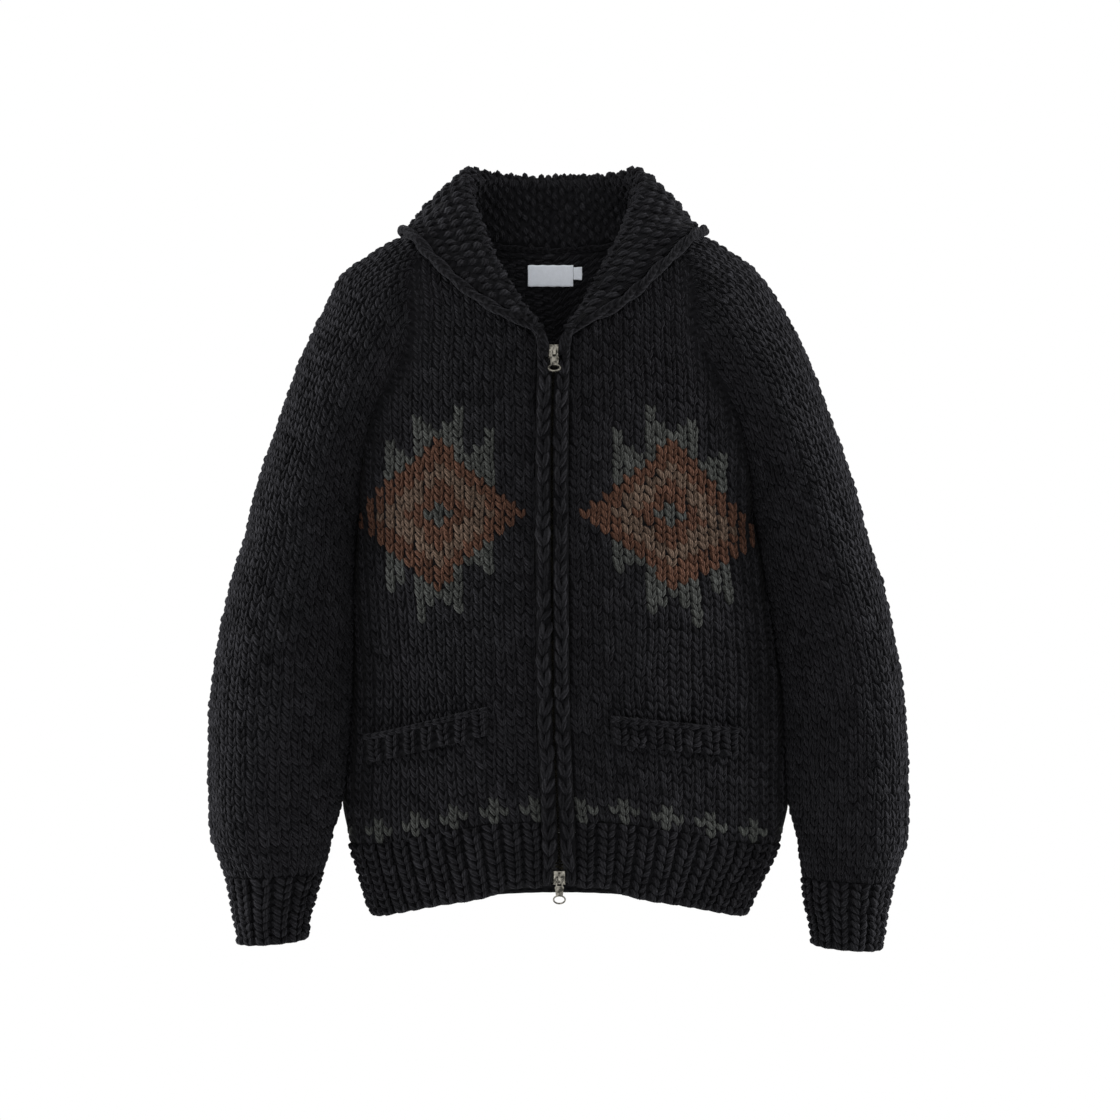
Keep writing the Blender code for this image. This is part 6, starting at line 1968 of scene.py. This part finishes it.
def woven(name, colour, thread, roughness, depth):
    """A flat woven cloth: warp and weft threads over each other, with painted shade where they dip."""
    _, tree, shader = new_material(name)
    parts = split(tree, node(tree, "ShaderNodeTexCoord").outputs["Object"])
    warp, weft = (maths(tree, "SINE", maths(tree, "MULTIPLY", parts[axis], 2 * math.pi / thread))
                  for axis in (0, 2))
    weave_bump_and_shade = maths(tree, "MULTIPLY_ADD", maths(tree, "MULTIPLY", warp, weft), 0.5, 0.5)
    slub = maths(tree, "MULTIPLY_ADD", noise(tree, 300.0), 0.16, 0.80)
    # Painted shade: the colour darkens where the weave dips, on top of its random slubs.
    light = maths(tree, "MULTIPLY_ADD", weave_bump_and_shade, 0.16, slub)
    tree.links.new(shade(tree, colour, light), shader.inputs["Base Color"])
    add_bump(tree, shader, weave_bump_and_shade, 0.5, depth)
    set_inputs(shader, {"Roughness": roughness, "Specular IOR Level": 0.3})


def dress(node_name, material):
    """Give a CAD node that stays its finished material."""
    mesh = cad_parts[node_name].data
    mesh.materials.clear()
    mesh.materials.append(bpy.data.materials[material])


# ---------------------------------------------------------------- studio, in metres
CAMERA = (0.0015, -3.11, -0.317)
FRAME_HALF, FRAME_AT = 0.56, 3.0      # half the picture's width, and how far away it is that wide
FLOOR_Z, FLOOR_HALF = -1.42, 1.6
FLOOR_GREY = (0.86, 0.86, 0.86)
NECK_SPOT = {"place": (0.0, -1.9, 0.25), "aim": (0.0, 0.05, 0.035), "cone": 8.0, "power": 80.0}
# name, place, point that it faces, size, power in watts
LIGHTS = (
    ("key", (0.3, -2.4, 2.0), (0.0, 0.0, -0.2), 1.2, 6.0),
    ("side_left", (-1.9, 0.0, 0.1), (0.0, 0.0, -0.45), 1.0, 95.0),
    ("side_right", (1.9, 0.0, 0.1), (0.0, 0.0, -0.45), 1.0, 95.0),
)


def hang(name, lamp_data, place, aim):
    """Put a light in its place and face it at a point."""
    lamp = bpy.data.objects.new(name, lamp_data)
    lamp.location = place
    lamp.rotation_euler = (Vector(aim) - Vector(place)).to_track_quat("-Z", "Y").to_euler()
    bpy.context.scene.collection.objects.link(lamp)


def lights():
    """Soft lights from in front and from both sides, and a narrow one on the neck opening."""
    for name, place, aim, size, power in LIGHTS:
        light = bpy.data.lights.new(name, "AREA")
        light.shape = "DISK"
        light.size = size
        light.energy = power
        hang(name, light, place, aim)
    spot = bpy.data.lights.new("neck", "SPOT")
    spot.energy = NECK_SPOT["power"]
    spot.spot_size = math.radians(NECK_SPOT["cone"])
    spot.spot_blend = 1.0
    spot.shadow_soft_size = 0.08
    hang("neck", spot, NECK_SPOT["place"], NECK_SPOT["aim"])


def studio():
    """Camera, white world, floor and lights."""
    scene = bpy.context.scene
    camera = bpy.data.objects.new("camera", bpy.data.cameras.new("camera"))
    scene.collection.objects.link(camera)
    camera.location = CAMERA
    camera.rotation_euler = (math.pi / 2, 0.0, 0.0)
    camera.data.angle = 2 * math.atan(FRAME_HALF / FRAME_AT)
    scene.camera = camera
    world = bpy.data.worlds.new("studio")
    world.use_nodes = True
    set_inputs(world.node_tree.nodes["Background"], {"Color": (1.0, 1.0, 1.0, 1.0), "Strength": 1.0})
    scene.world = world
    scene.view_settings.view_transform = "Standard"
    floor = bpy.data.objects.new("floor", bpy.data.meshes.new("floor"))
    half, low = FLOOR_HALF, FLOOR_Z
    corners = [(-half, -half, low), (half, -half, low), (half, half, low), (-half, half, low)]
    floor.data.from_pydata(corners, [], [(0, 1, 2, 3)])
    material, tree, shader = new_material("floor")
    cloud = noise(tree, 3.0, 2.0)
    light = maths(tree, "MULTIPLY_ADD", cloud, 0.06, 0.97)
    tree.links.new(shade(tree, FLOOR_GREY, light), shader.inputs["Base Color"])
    set_inputs(shader, {"Roughness": 0.9})
    floor.data.materials.append(material)
    scene.collection.objects.link(floor)
    lights()


# ---------------------------------------------------------------- the whole garment
build_body_and_sleeves()
for yarn, look in YARN_LOOKS.items():
    make_yarn(yarn, *look)
make_ground("wool_ground", (0.0062, 0.0062, 0.0070))
metal("zip_nickel", (0.19, 0.18, 0.155), 0.24)
# The teeth's metal is nearly black: painted shade for the narrow slit between the cords where they sit.
metal("teeth_metal_painted_shade", (0.010, 0.009, 0.006), 0.45)
woven("tape_cloth", (0.008, 0.008, 0.009), 0.0012, 0.9, 0.0003)
woven("label_cloth", (0.60, 0.63, 0.68), 0.0006, 0.75, 0.0001)
pieces = {**fronts(torso_field("front")), **back_piece(torso_field("back")), **sleeves(), **ribs(),
          "collar": collar(), **edgings(), **welts(), **tapes(), **labels()}
zip_teeth()
for name in ("slider_top", "slider_bottom", "pull_top", "pull_bottom"):
    dress(name, "zip_nickel")
studio()
